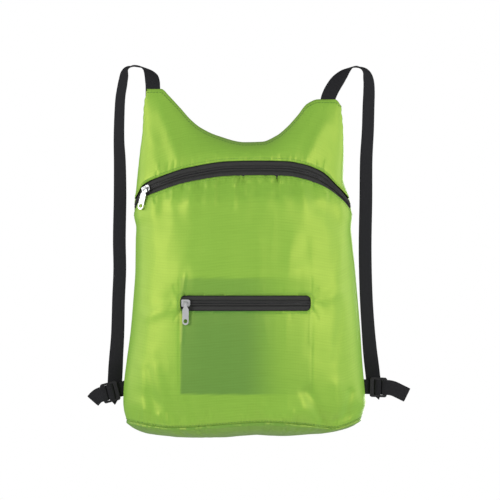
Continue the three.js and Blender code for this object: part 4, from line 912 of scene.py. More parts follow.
def sweep(name, line, radius, sides):
    """A closed round tube along a line of points, all in millimetres."""
    along = np.gradient(line, axis=0)
    along /= np.linalg.norm(along, axis=1, keepdims=True)
    side = np.cross(along, [0.0, 1.0, 0.0])
    side /= np.linalg.norm(side, axis=1, keepdims=True)
    up = np.cross(side, along)
    angles = np.arange(sides) / sides * 2 * np.pi
    rings = (line[:, None] + radius * np.cos(angles)[:, None] * side[:, None]
             + radius * np.sin(angles)[:, None] * up[:, None])
    faces = tube_faces(len(line), sides)
    run = run_along(line) / 1000
    uvs = [(run[i], radius * angles[j] / 1000) for i in range(len(line)) for j in range(sides)]
    piece = new_piece(name, metres(rings.reshape(-1, 3)), faces, uvs)
    edit_all(piece, face_outwards)
    return piece


def build_neck_hem():
    turn = np.linspace(-0.985, 0.985, 420)
    line = surface("plain", turn, top_height(across_of(turn)))
    line[:, 2] -= 0.35 * HEM_RADIUS
    piece = sweep("neck_hem", line, HEM_RADIUS, HEM_SIDES)
    declare(piece)
    return piece


neck_hem = build_neck_hem()

# %% [markdown]
# ## Zips
# Both zips are the plain kind whose coil is turned to the inside: from in front they are two strips
# of woven tape that roll over the coil and meet in a groove, with the tips of the teeth just
# showing in it. A picture of that would be flat from the side, so the two rolled edges and the
# teeth are real. The tape is a grid across and along the zip, and one tooth is modelled as a
# bevelled bar and then copied along the groove.

# %% Zip tapes
TAPE_LAP = 3
TAPE_INSET = 2.0
TAPE_WALL = 0.6
BEAD_OUT = 1.55
BEAD_RADIUS = 1.25
BEAD_RISE = 1.5
ZIP_COLUMNS = 240


def main_zip_place(share, off):
    turn = 2 * share - 1
    across = across_of(turn)
    return turn, zip_height(across) + off


def pocket_zip_place(half_length):
    def place(share, off):
        x = POCKET_CENTRE_X + half_length * (2 * share - 1)
        z = POCKET_ZIP_UP + off
        return turn_at(x, z), z + 0 * x
    return place


LAP_SINK, LAP_FROM, LAP_REACH = 1.5, 1.4, 1.6
GROOVE_DEPTH, GROOVE_REACH = 0.5, 0.35
TRENCH_DEPTH, TRENCH_OUT, TRENCH_REACH = 1.2, 3.3, 0.5
# rows across one half of the tape, close together where it bends
TAPE_ROWS = [-10.2, -9.6, -9, -8.4, -7.8, -6, -4.4, -4, -3.6, -3.3, -3, -2.82, -2.7, -2.4, -1.9,
             -1.4, -0.9, -0.5, -0.2, 0]
ENDS_FROM = 0.93
MAIN_END_SINK = -1.2


def tape_profile(off):
    """How far the tape stands out: two rolled edges by the groove, and laps that dive under."""
    bead = (np.abs(off) - BEAD_OUT) / BEAD_RADIUS
    roll = BEAD_RISE * np.sqrt(np.clip(1 - bead ** 2, 0, 1))
    groove = GROOVE_DEPTH * bell(off, GROOVE_REACH)
    groove += TRENCH_DEPTH * bell(np.abs(off) - TRENCH_OUT, TRENCH_REACH)
    dive = (np.abs(off) - ZIP_WINDOW / 2 + LAP_FROM) / LAP_REACH
    return roll - groove - LAP_SINK * ease(dive)


def build_tape(name, place, half_band, node, end_sink):
    offs = np.array([-half_band] + TAPE_ROWS)
    offs = np.concatenate([offs, -offs[-2::-1]])
    share, off = np.meshgrid(np.linspace(0, 1, ZIP_COLUMNS), offs, indexing="ij")
    turn, z = place(share, off)
    end = np.clip((np.abs(2 * share - 1) - ENDS_FROM) / (1 - ENDS_FROM), 0, 1)
    lift = tape_profile(off)
    lift = np.where(lift > 0, lift * (1 - end), lift) - end_sink * end
    points = surface("plain", turn, z) - (TAPE_INSET - lift)[..., None] * outward("plain", turn, z)
    faces = grid_faces(ZIP_COLUMNS, len(offs))
    piece = new_piece(name, metres(points.reshape(-1, 3)), faces, grid_uvs(points))
    modify(piece, "SOLIDIFY", thickness=TAPE_WALL / 1000, offset=-1)
    declare(piece, node)
    return piece


main_tape = build_tape("main_zip_tape_cloth", main_zip_place, ZIP_WINDOW / 2 + TAPE_LAP,
                       "main_zip_tape", MAIN_END_SINK)
pocket_half = POCKET_LENGTH / 2
pocket_tape = build_tape("pocket_zip_tape_cloth", pocket_zip_place(pocket_half + TAPE_LAP),
                         POCKET_WINDOW / 2 + TAPE_LAP, "pocket_zip_tape", LAP_SINK)

# %% [markdown]
# ### The teeth
# What shows of the coil is a row of small dark steps in the groove. One bar with broken edges is
# modelled once and then copied at an even pitch, which is drawn a little coarser than the real
# 1 mm so that it doesn't shimmer.

# %% One tooth, copied along each groove
TOOTH_PITCH = 1.25
TOOTH_LENGTH = 1.5
TOOTH_WIDTH = 0.7
TOOTH_THICKNESS = 0.6
TOOTH_LEVEL = 1.25


def one_shape(name, make):
    """The points and faces of a small shape that is modelled once, in metres."""
    bpy.ops.object.select_all(action="DESELECT")
    make()
    piece = bpy.context.active_object
    bpy.ops.object.transform_apply(location=True, rotation=True, scale=True)
    points = np.array([vertex.co[:] for vertex in piece.data.vertices])
    faces = [list(polygon.vertices) for polygon in piece.data.polygons]
    bpy.data.objects.remove(piece)
    print(name, len(faces), "faces")
    return points, faces


def break_edges(width):
    bpy.ops.mesh.bevel(offset=width, segments=1, affect="EDGES")


def make_tooth():
    shape = (TOOTH_WIDTH / 1000, TOOTH_THICKNESS / 1000, TOOTH_LENGTH / 1000)
    bpy.ops.mesh.primitive_cube_add(size=1, scale=shape)
    bpy.ops.object.transform_apply(scale=True)
    edit_all(bpy.context.active_object, lambda: break_edges(0.00015))


def copies(name, shape, places):
    """One mesh of many copies: each place is a matrix of along, out and up, with its position."""
    points, faces = shape
    all_points, all_faces = [], []
    for axes, position in places:
        start = len(all_points) * len(points)
        all_points.append(points @ axes + position)
        all_faces.extend([[start + corner for corner in face] for face in faces])
    return new_piece(name, np.concatenate(all_points), all_faces)


def places_along(place, pitch, inset, margin):
    """Frames along a zip at even distances: along the zip, out of the cloth and up across it."""
    fine = np.linspace(0, 1, 1200)
    turn, z = place(fine, np.zeros(1200))
    line = surface("plain", turn, z) - inset * outward("plain", turn, z)
    run = run_along(line)
    stops = np.arange(margin, run[-1] - margin, pitch)
    share = np.interp(stops, run, fine)
    turn, z = place(share, np.zeros(len(share)))
    normal = outward("plain", turn, z)
    centre = surface("plain", turn, z) - inset * normal
    along = np.gradient(centre, axis=0)
    along /= np.linalg.norm(along, axis=1, keepdims=True)
    up = np.cross(normal, along)
    up /= np.linalg.norm(up, axis=1, keepdims=True)
    out = np.cross(along, up)
    return [(np.array([a, -n, u]), p) for a, n, u, p in zip(along, out, up, metres(centre))]


tooth = one_shape("tooth", make_tooth)
main_teeth = copies("main_zip_teeth", tooth,
                    places_along(main_zip_place, TOOTH_PITCH, TOOTH_LEVEL, 14))
pocket_teeth = copies("pocket_zip_teeth", tooth,
                      places_along(pocket_zip_place(pocket_half), TOOTH_PITCH, TOOTH_LEVEL, 4))
for teeth, node in ((main_teeth, "main_zip_coil"), (pocket_teeth, "pocket_zip_coil")):
    teeth.data.shade_flat()
    declare(teeth, node)

# %% [markdown]
# ## Metal and plastic
# Slider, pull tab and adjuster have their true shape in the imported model, with its sharp edges.
# The real ones are cast or moulded and then tumbled, so their edges are round and catch the light.
# A copy of each is merged, its flat faces are joined, and a small bevel rounds every edge.

# %% Rounded copies of the hard pieces
METAL_EDGE = 0.0003
PLASTIC_EDGE = 0.0006
SAME_CORNER = 0.00001
FLAT_ENOUGH = math.radians(3)
ROUNDED_FROM = math.radians(30)


def rounded_copy(node, name, width, body="bag"):
    bpy.ops.object.select_all(action="DESELECT")
    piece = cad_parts[node].copy()
    piece.data = piece.data.copy()
    piece.name = name
    piece.parent = None
    for key in list(piece.keys()):
        del piece[key]
    bpy.context.collection.objects.link(piece)
    piece.matrix_world = Matrix.Identity(4)
    edit_all(piece, lambda: bpy.ops.mesh.remove_doubles(threshold=SAME_CORNER),
             lambda: bpy.ops.mesh.dissolve_limited(angle_limit=FLAT_ENOUGH))
    modify(piece, "BEVEL", width=width, segments=3, limit_method="ANGLE", angle_limit=ROUNDED_FROM,
           use_clamp_overlap=True)
    bpy.ops.object.shade_smooth_by_angle(angle=math.radians(40))
    modify(piece, "WEIGHTED_NORMAL", weight=100, keep_sharp=True)
    declare(piece, node, body)
    return piece


METAL_BODIES = {"main_zip_slider": "bag", "main_zip_pull": "main_pull_tab",
                "pocket_zip_slider": "bag", "pocket_zip_pull": "pocket_pull_tab"}
metal_pieces = [rounded_copy(node, node + "_metal", METAL_EDGE, body)
                for node, body in METAL_BODIES.items()]
adjusters = [rounded_copy("adjuster_" + side, f"adjuster_{side}_moulded", PLASTIC_EDGE) for side in ("left", "right")]

# %% [markdown]
# ## Webbing
# A strap is 19 mm webbing that leaves the horn, arches over its highest point, falls beside the bag
# and goes through the adjuster. It can't be simulated as cloth, because it is stiff across its
# width, so its two edges follow a route of stations, and a rounded, slightly ribbed section is
# swept along them.

# %% Strap routes
WEBBING_WIDTH = 19
WEBBING = 1.5
STRAP_SWING = 30
STRAP_TONGUE = 11
SIDE_TAB_REACH = 7
ADJUSTER_THICKNESS = 3
ADJUSTER_BAR = 5
SLOT_PLAY = 0.5
STRAP_DROP_IN = 6
BEND_RADIUS = 1.3
CLEARANCE = 0.3
# out, up, back, turn about the vertical
STRAP_ROUTES = {
    "left": [
        (0.756, 1.0, 0.0, 0), (0.758, 1.0187, 0.0, 5), (0.77, 1.0388, 0.08, 26),
        (0.795, 1.0538, 0.2, 52), (0.8306, 1.063, 0.3, 72), (0.876, 1.0683, 0.42, 90),
        (0.9256, 1.0692, 0.5, 104), (0.9686, 1.0635, 0.56, 116), (0.9934, 1.0518, 0.6, 125),
        (1.0058, 1.0331, 0.63, 130), (1.0165, 1.0129, 0.65, 133), (1.0314, 0.9813, 0.67, 134),
        (1.0405, 0.9266, 0.68, 136), (1.0438, 0.8547, 0.68, 139), (1.0372, 0.7971, 0.66, 146),
        (1.0339, 0.6964, 0.6, 152), (1.0388, 0.5669, 0.5, 153), (1.0345, 0.4806, 0.44, 153),
        (1.0438, 0.3942, 0.38, 153), (1.0504, 0.2935, 0.3, 156), (1.062, 0.2273, 0.24, 166)],
    "right": [
        (0.6884, 0.9698, 0.0, 0), (0.7066, 0.9885, 0.0, 3), (0.7347, 1.0072, 0.05, 8),
        (0.7645, 1.023, 0.1, 14), (0.7959, 1.0374, 0.16, 26), (0.8306, 1.0518, 0.25, 44),
        (0.8678, 1.0624, 0.34, 66), (0.9116, 1.067, 0.44, 90), (0.957, 1.0647, 0.52, 108),
        (0.9942, 1.0567, 0.58, 122), (1.019, 1.0446, 0.62, 132), (1.0322, 1.0273, 0.64, 138),
        (1.0355, 0.9986, 0.66, 143), (1.0314, 0.9554, 0.67, 146), (1.0256, 0.8835, 0.67, 147),
        (1.0124, 0.8029, 0.65, 150), (1.0083, 0.682, 0.58, 153), (1.0008, 0.5381, 0.47, 153),
        (1.0083, 0.4086, 0.38, 153), (1.0231, 0.3165, 0.3, 156), (1.0397, 0.2446, 0.24, 166)]}
# height, tilt, swing of the tail, its length, swing of the free end, its length
ADJUSTERS = {"left": (0.14, 15, 34, 14, 45, 16), "right": (0.145, 2, 24, 27, 50, 14)}
HANDS = {"left": -1, "right": 1}
LAYER = WEBBING + CLEARANCE
SLOT_A = WEBBING + 2 * SLOT_PLAY
SLOT_B = 2 * WEBBING + 3 * SLOT_PLAY
BAR_B_FROM = ADJUSTER_BAR + SLOT_A
SLOT_B_FROM = BAR_B_FROM + ADJUSTER_BAR
BAR_C_FROM = SLOT_B_FROM + SLOT_B
ADJUSTER_LENGTH = BAR_C_FROM + ADJUSTER_BAR
FACE_LAYER = ADJUSTER_THICKNESS / 2 + CLEARANCE + WEBBING / 2
TAB_MIDDLE = FACE_LAYER + LAYER / 2
HALF_WEBBING = WEBBING_WIDTH / 2
STATIONS_A_ROW = 6
LOOP_STEPS = 14
BEND_IN = BEND_RADIUS * (1 - math.sqrt(0.5))

# %% [markdown]
# ### Adjuster and side tab
# The adjuster is a small ladder: three bars and two slots. What goes through it is easiest to place
# in its own directions: a outwards along it, b up across it, and c out of its face. The side tab
# comes from the seam behind the first bar, rises through the first slot, lies over the middle bar,
# goes down through the second slot and back to the seam.

# %% Adjuster and side tab
def unit(vector):
    return vector / np.linalg.norm(vector)


def adjuster_frame(side):
    hand = HANDS[side]
    up, tilt = ADJUSTERS[side][:2]
    angle = math.radians(tilt)
    a = np.array([hand * math.cos(angle), 0, -math.sin(angle)])
    b = np.array([hand * math.sin(angle), 0, math.cos(angle)])
    c = np.array([0.0, -1.0, 0.0])
    z = up * BAG_HEIGHT
    seam = np.array([hand * float(half_width(np.array(z), np.array(hand))), 0, z])
    origin = seam + SIDE_TAB_REACH * a + TAB_MIDDLE * c
    return hand, a, b, c, lambda at, bt, ct: origin + at * a + bt * b + ct * c


def loop_stations(frame_of, route):
    """Route rows are a, b, c, heading, and the parts of the thickness along a and c."""
    hand, a, b, c, at = frame_of
    stations = []
    for along, over, front, heading, na, nc in route:
        across = b * math.cos(heading) + a * math.sin(heading)
        centre = at(along, over, front)
        forward = a * math.cos(heading) - b * math.sin(heading)
        stations.append((centre - HALF_WEBBING * across, centre + HALF_WEBBING * across,
                         unit(forward * na + c * nc)))
    return stations


def side_tab_stations(side):
    frame_of = adjuster_frame(side)
    hand, a = frame_of[:2]
    up_run = ADJUSTER_BAR + SLOT_A / 2
    down_run = SLOT_B_FROM + SLOT_PLAY + WEBBING / 2
    near, far, r = -FACE_LAYER, -FACE_LAYER - LAYER, BEND_RADIUS
    route = [
        (-SIDE_TAB_REACH, near, 0, 1), (up_run - r, near, 0, 1),
        (up_run - BEND_IN, near + BEND_IN, -1, 1),
        (up_run, near + r, -1, 0), (up_run, FACE_LAYER - r, -1, 0),
        (up_run + BEND_IN, FACE_LAYER - BEND_IN, -1, 1), (up_run + r, FACE_LAYER, 0, 1),
        (down_run - r, FACE_LAYER, 0, 1), (down_run - BEND_IN, FACE_LAYER - BEND_IN, 1, 1),
        (down_run, FACE_LAYER - r, 1, 0), (down_run, near + r, 1, 0),
        (down_run - BEND_IN, near + BEND_IN, 1, -1), (down_run - r, near, 0, -1),
        (BAR_B_FROM, near, 0, -1), (ADJUSTER_BAR - r, far, 0, -1), (-SIDE_TAB_REACH, far, 0, -1)]
    stations = loop_stations(frame_of, [(at, 0, front, 0, na, nc) for at, front, na, nc in route])
    for end in (stations[0], stations[-1]):
        for edge in end[:2]:
            for _ in range(4):
                seam_x = float(half_width(np.array(edge[2]), np.array(hand)))
                edge += a * (seam_x - hand * edge[0]) / abs(a[0])
    return stations

# %% [markdown]
# ### The route of a strap
# From the horn a strap follows its table. At the adjuster it drops behind, is folded flat so that
# it runs outwards, leaves as a loose tail, doubles back, goes down through the second slot and ends
# behind in a short free end. A smooth curve runs through the rows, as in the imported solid, and each
# station keeps both edges of the webbing and the way that it faces.

# %% The route of a strap
def catmull(points, t):
    """A centripetal curve through the points, at t from 0 to 1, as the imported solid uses."""
    count = len(points) - 1
    at = t * count
    i = min(int(at), count - 1)
    weight = at - i
    p1, p2 = points[i], points[i + 1]
    p0 = points[i - 1] if i > 0 else 2 * points[0] - points[1]
    p3 = points[i + 2] if i + 2 <= count else 2 * points[-1] - points[-2]
    d0, d1, d2 = (max(np.sum((q - p) ** 2), 1e-12) ** 0.25
                  for p, q in ((p0, p1), (p1, p2), (p2, p3)))
    if d1 < 1e-4:
        d1 = 1.0
    if d0 < 1e-4:
        d0 = d1
    if d2 < 1e-4:
        d2 = d1
    m1 = ((p1 - p0) / d0 - (p2 - p0) / (d0 + d1) + (p2 - p1) / d1) * d1
    m2 = ((p2 - p1) / d1 - (p3 - p1) / (d1 + d2) + (p3 - p2) / d2) * d1
    w2, w3 = weight ** 2, weight ** 3
    return ((2 * w3 - 3 * w2 + 1) * p1 + (w3 - 2 * w2 + weight) * m1
            + (3 * w2 - 2 * w3) * p2 + (w3 - w2) * m2)


def strap_stations(side):
    frame_of = adjuster_frame(side)
    hand, a, b, c, at = frame_of
    _, _, tail_turn, tail_length, end_turn, free_end = ADJUSTERS[side]
    behind = lambda layers: -FACE_LAYER - layers * LAYER
    rows = [(np.array([hand * out * HALF_WIDTH, back * STRAP_SWING, up * BAG_HEIGHT]), turn)
            for out, up, back, turn in STRAP_ROUTES[side]]
    rows.insert(0, (rows[0][0] - np.array([0, 0, STRAP_TONGUE]), 0))
    fold_middle = at(STRAP_DROP_IN, 0, behind(4))
    down = fold_middle - rows[-1][0]
    down[1] = 0
    down = unit(down)
    fold_line = unit(down + a)
    across_down = np.array([-hand * down[2], 0, hand * down[0]])
    fold_reach = HALF_WEBBING / fold_line.dot(across_down)
    fold_outer = fold_middle + fold_line * fold_reach
    fold_inner = fold_middle - fold_line * fold_reach
    last_level = (fold_inner - fold_middle).dot(down)
    for above in (last_level - 12, last_level - 1):
        rows.append((fold_middle + down * above, 180))
    route = [point for point, _ in rows]
    turn_at_row = curve_through([(i, turn) for i, (_, turn) in enumerate(rows)], 1)
    stations = []
    last = len(rows) - 1
    per_row = STATIONS_A_ROW
    for i in range(last * per_row + 1):
        t = i / (last * per_row)
        along = unit(catmull(route, min(t + 1e-4, 1)) - catmull(route, max(t - 1e-4, 0)))
        turn = math.radians(float(turn_at_row(np.array(i / per_row))))
        across = np.array([-hand * math.cos(turn), math.sin(turn), 0])
        across = unit(across - across.dot(along) * along)
        centre = catmull(route, t)
        stations.append((centre + HALF_WEBBING * across, centre - HALF_WEBBING * across,
                         unit(-hand * np.cross(along, across))))
    backwards, forwards = np.array([0.0, 1, 0]), np.array([0.0, -1, 0])
    swell = hand * np.array([fold_line[2], 0, -fold_line[0]])
    swell = swell if swell.dot(down) > 0 else -swell
    level = fold_middle + down * last_level
    half_layer = LAYER / 2
    stations.append((level + HALF_WEBBING * across_down, fold_inner, backwards))
    stations.append((fold_outer, fold_inner, backwards))
    shift = half_layer * (forwards + swell)
    stations.append((fold_outer + shift, fold_inner + shift, swell))
    outer = fold_outer + LAYER * forwards
    stations.append((outer, fold_inner + LAYER * forwards, forwards))
    run = (outer - fold_middle).dot(a)
    stations.append((outer, outer + WEBBING_WIDTH * b, forwards))

    turn_from = ADJUSTER_LENGTH + 1
    turn_to = turn_from + min(0.7 * tail_length, 11)
    tail_end = ADJUSTER_LENGTH + tail_length

    def plan(distance):
        share = min(max((distance - turn_from) / (turn_to - turn_from), 0), 1)
        heading = math.radians(tail_turn) * share
        bent = (turn_to - turn_from) * share
        chord = bent * math.sin(heading / 2) / (heading / 2) if heading > 0 else 0
        beyond = max(distance - turn_to, 0)
        at_a = min(distance, turn_from) + chord * math.cos(heading / 2) + beyond * math.cos(heading)
        at_b = -chord * math.sin(heading / 2) - beyond * math.sin(heading)
        return at_a, at_b, heading

    end_middle = (FACE_LAYER + behind(3)) / 2
    half = LAYER / 2 + 0.1
    route = []
    steps = LOOP_STEPS
    out_start = STRAP_DROP_IN + run + 2
    for i in range(steps + 1):
        distance = out_start + (tail_end - out_start) * i / steps
        share = ease((distance - ADJUSTER_LENGTH + 2) / (tail_end - ADJUSTER_LENGTH + 2))
        level = behind(3) + (end_middle - half - behind(3)) * share
        at_a, at_b, heading = plan(distance)
        route.append((at_a, at_b, level, heading, 0, 1))
    at_a, at_b, heading = plan(tail_end + half)
    route.append((at_a, at_b, end_middle, heading, -1, 0))
    home = BAR_C_FROM + BEND_RADIUS
    for i in range(steps + 1):
        distance = tail_end + (home - tail_end) * i / steps
        share = ease((distance - ADJUSTER_LENGTH) / tail_length)
        level = FACE_LAYER + (end_middle + half - FACE_LAYER) * share
        at_a, at_b, heading = plan(distance)
        route.append((at_a, at_b, level, heading, 0, -1))
    slot_run = BAR_C_FROM - SLOT_PLAY - WEBBING / 2
    r, rear = BEND_RADIUS, behind(2)
    route += [(slot_run + BEND_IN, 0, FACE_LAYER - BEND_IN, 0, 1, -1),
              (slot_run, 0, FACE_LAYER - r, 0, 1, 0), (slot_run, 0, rear + r, 0, 1, 0),
              (slot_run - BEND_IN, 0, rear + BEND_IN, 0, 1, -1), (slot_run - r, 0, rear, 0, 0, -1)]
    angle = math.radians(end_turn)
    route.append((slot_run - r - free_end * math.cos(angle), -free_end * math.sin(angle), rear,
                  -angle, 0, -1))
    return stations + loop_stations(frame_of, route)


# %% [markdown]
# ### Sweeping the webbing
# Woven webbing is thinner at its edges than in its middle. The section is drawn once, from edge to
# edge on both faces, and set down at every station, so turns, folds and the cut ends come out whole.

# %% Sweeping the webbing
ACROSS_STEPS = 12
WEBBING_EDGE = 0.62


def build_webbing(name, stations, node):
    """Sweeps a flat section with soft edges through the stations."""
    across = np.linspace(-1, 1, ACROSS_STEPS + 1)
    height = 0.5 * WEBBING * (1 - (1 - WEBBING_EDGE) * np.abs(across) ** 6)
    section = list(zip(across, height)) + list(zip(across[::-1], -height[::-1]))
    points, uvs = [], []
    run = run_along(np.array([(p + q) / 2 for p, q, n in stations]))
    for (p, q, n), distance in zip(stations, run):
        for s, h in section:
            points.append((p + q) / 2 + (q - p) / 2 * s + n * h)
            uvs.append((distance / 1000, s * HALF_WEBBING / 1000))
    piece = new_piece(name, metres(points), tube_faces(len(stations), len(section)), uvs)
    edit_all(piece, face_outwards)
    bpy.ops.object.shade_smooth_by_angle(angle=math.radians(50))
    declare(piece, node)
    return piece


webbing_pieces = []
for side in ("left", "right"):
    for node, stations_of in (("strap_" + side, strap_stations), ("side_tab_" + side, side_tab_stations)):
        webbing_pieces.append(build_webbing(node + "_webbing", stations_of(side), node))

# %% [markdown]
# ## Thread
# Every seam that shows is a row of lockstitches. One stitch is a short bar with rounded ends, laid
# on the finished cloth, so the rows follow its folds. Rows run along both sides of the arched zip,
# round the pocket's window, along the bottom seam and under the neck.

# %% Stitches
STITCH = 2.6
STITCH_GAP = 1.3
THREAD = 0.7
THREAD_LIFT = 0.00008
SEAM_THREAD_UP = 2.2
NECK_THREAD_DOWN = 4


def make_stitch():
    bpy.ops.mesh.primitive_cylinder_add(vertices=6, radius=THREAD / 2000, depth=STITCH / 1000)
    edit_all(bpy.context.active_object, lambda: break_edges(0.00008))
    bpy.context.active_object.rotation_euler = (0, math.pi / 2, 0)


stitch = one_shape("stitch", make_stitch)


def cloth_tree(piece):
    points = [vertex.co.copy() for vertex in piece.data.vertices]
    return BVHTree.FromPolygons(points, [tuple(p.vertices) for p in piece.data.polygons])


CLOTH_TREES = {"front": cloth_tree(front_cloth), "yoke": cloth_tree(yoke_cloth),
               "back": cloth_tree(back_cloth)}


def stitch_places(line, tree, lift):
    """Frames for stitches along a line of points in metres, laid on the cloth."""
    run = run_along(line)
    pitch = (STITCH + STITCH_GAP) / 1000
    stops = np.arange(pitch / 2, run[-1] - pitch / 2, pitch)
    centres = np.stack([np.interp(stops, run, line[:, k]) for k in range(3)], axis=1)
    ahead = np.stack([np.interp(stops + 0.0005, run, line[:, k]) for k in range(3)], axis=1)
    rows = []
    for centre, forward in zip(centres, ahead):
        place, normal, _, _ = tree.find_nearest(Vector(centre))
        normal = np.array(normal)
        if normal.dot(centre - line.mean(axis=0)) < 0 and abs(normal[1]) < 0.2:
            normal = -normal
        along = forward - centre
        along = unit(along - along.dot(normal) * normal)
        side = np.cross(normal, along)
        rows.append((np.array([along, side, normal]), np.array(place) + normal * lift))
    return rows


def surface_line(panel, turns, heights):
    return metres(surface(panel, turns, heights))


def seam_lines():
    turns = np.linspace(-0.985, 0.985, 400)
    across = across_of(turns)
    zip_z = zip_height(across)
    lines = [
        ("zip", "front", surface_line("front", turns, zip_z - ZIP_WINDOW / 2 - THREAD_IN)),
        ("zip", "yoke", surface_line("yoke", turns, zip_z + ZIP_WINDOW / 2 + THREAD_IN)),
        ("seam", "front", surface_line("front", turns, seam_height(FRONT, across) + SEAM_THREAD_UP))]
    neck_turns = np.linspace(-0.9, 0.93, 500)
    neck = across_of(neck_turns)
    neck_z = top_height(neck) - NECK_THREAD_DOWN
    for panel in ("yoke", "back"):
        lines.append(("seam", panel, surface_line(panel, neck_turns, neck_z)))
    half, reach = POCKET_LENGTH / 2 + THREAD_IN, POCKET_WINDOW / 2 + THREAD_IN
    corner = POCKET_CORNER
    round_turns = np.linspace(0, np.pi / 2, 12)
    outline = []
    for cx, cz, start in ((1, 1, 0), (-1, 1, 1), (-1, -1, 2), (1, -1, 3)):
        angle = round_turns + start * np.pi / 2
        x = POCKET_CENTRE_X + cx * (half - corner) + corner * np.cos(angle)
        z = POCKET_ZIP_UP + cz * (reach - corner) + corner * np.sin(angle)
        outline.append(np.stack([x, z], axis=1))
    outline = np.concatenate(outline + [outline[0][:1]])
    run = run_along(outline)
    fine = np.linspace(0, run[-1], 700)
    outline = np.stack([np.interp(fine, run, outline[:, k]) for k in (0, 1)], axis=1)
    window = surface_line("front", turn_at(outline[:, 0], outline[:, 1]), outline[:, 1])
    lines.append(("zip", "front", window))
    return lines


thread_places = {"zip": [], "seam": []}
for use, panel, line in seam_lines():
    thread_places[use] += stitch_places(line, CLOTH_TREES[panel], THREAD_LIFT)
zip_thread = copies("zip_thread", stitch, thread_places["zip"])
seam_thread = copies("seam_thread", stitch, thread_places["seam"])
for thread in (zip_thread, seam_thread):
    thread.data.shade_flat()
    declare(thread)

# %% [markdown]
# ## Cut sizes of the cloth
# Each panel was cut flat before it was sewn. Its cut size, the lengths along its weave, and its
# area are printed when the panel is built.

# %% Cut sizes of the panels
print("five panels printed their cut sizes as they were built")

# %% [markdown]
# ## Materials
# Each finish is built from noise, waves and the cloth's own map, with sizes worked out in metres.

# %% Helpers for materials
def linear(hex_colour):
    """An sRGB hex colour as the linear values that shaders work in."""
    channels = [int(hex_colour[i:i + 2], 16) / 255 for i in (0, 2, 4)]
    lit = [c / 12.92 if c <= 0.04045 else ((c + 0.055) / 1.055) ** 2.4 for c in channels]
    return tuple(lit) + (1.0,)


def set_up(tree, node, settings=None, links=None):
    """Sets a node's properties and sockets, and links into it other nodes or their outputs."""
    for name, value in (settings or {}).items():
        if isinstance(name, int) or name in node.inputs:
            node.inputs[name].default_value = value
        else:
            setattr(node, name, value)
    for name, source in (links or {}).items():
        output = source.outputs[0] if isinstance(source, bpy.types.Node) else source
        tree.links.new(output, node.inputs[name])
    return node


def add(tree, kind, settings=None, links=None):
    return set_up(tree, tree.nodes.new(kind), settings, links)


def new_material(name):
    material = bpy.data.materials.new(name)
    material.use_nodes = True
    tree = material.node_tree
    return material, tree, tree.nodes["Principled BSDF"]


def dress(pieces, material):
    for piece in pieces:
        piece.data.materials.clear()
        piece.data.materials.append(material)


# %% [markdown]
# ### Ripstop nylon
# Thin calendered nylon with a thicker thread every few millimetres each way. The weave itself is
# about 0.1 mm, far under a pixel, so only the ripstop threads are drawn, as narrow waves on the
# cloth's own map: across the bag they show more than up it. To the eye this gives fine level lines
# and a green that is never quite even, and the calendered face gives broad yellowish bands of light.

# %% Ripstop nylon
RIPSTOP_PITCH = 0.0036
# colour multiplied in as painted shade, over the pouch and on the gusset
POUCH_PAINTED_SHADE = (0.5, 0.62, 0.95, 1.0)
WEFT_SHOWS, WARP_SHOWS = 0.7, 0.3
YELLOWISH = (1.0, 0.9, 0.2, 1.0)


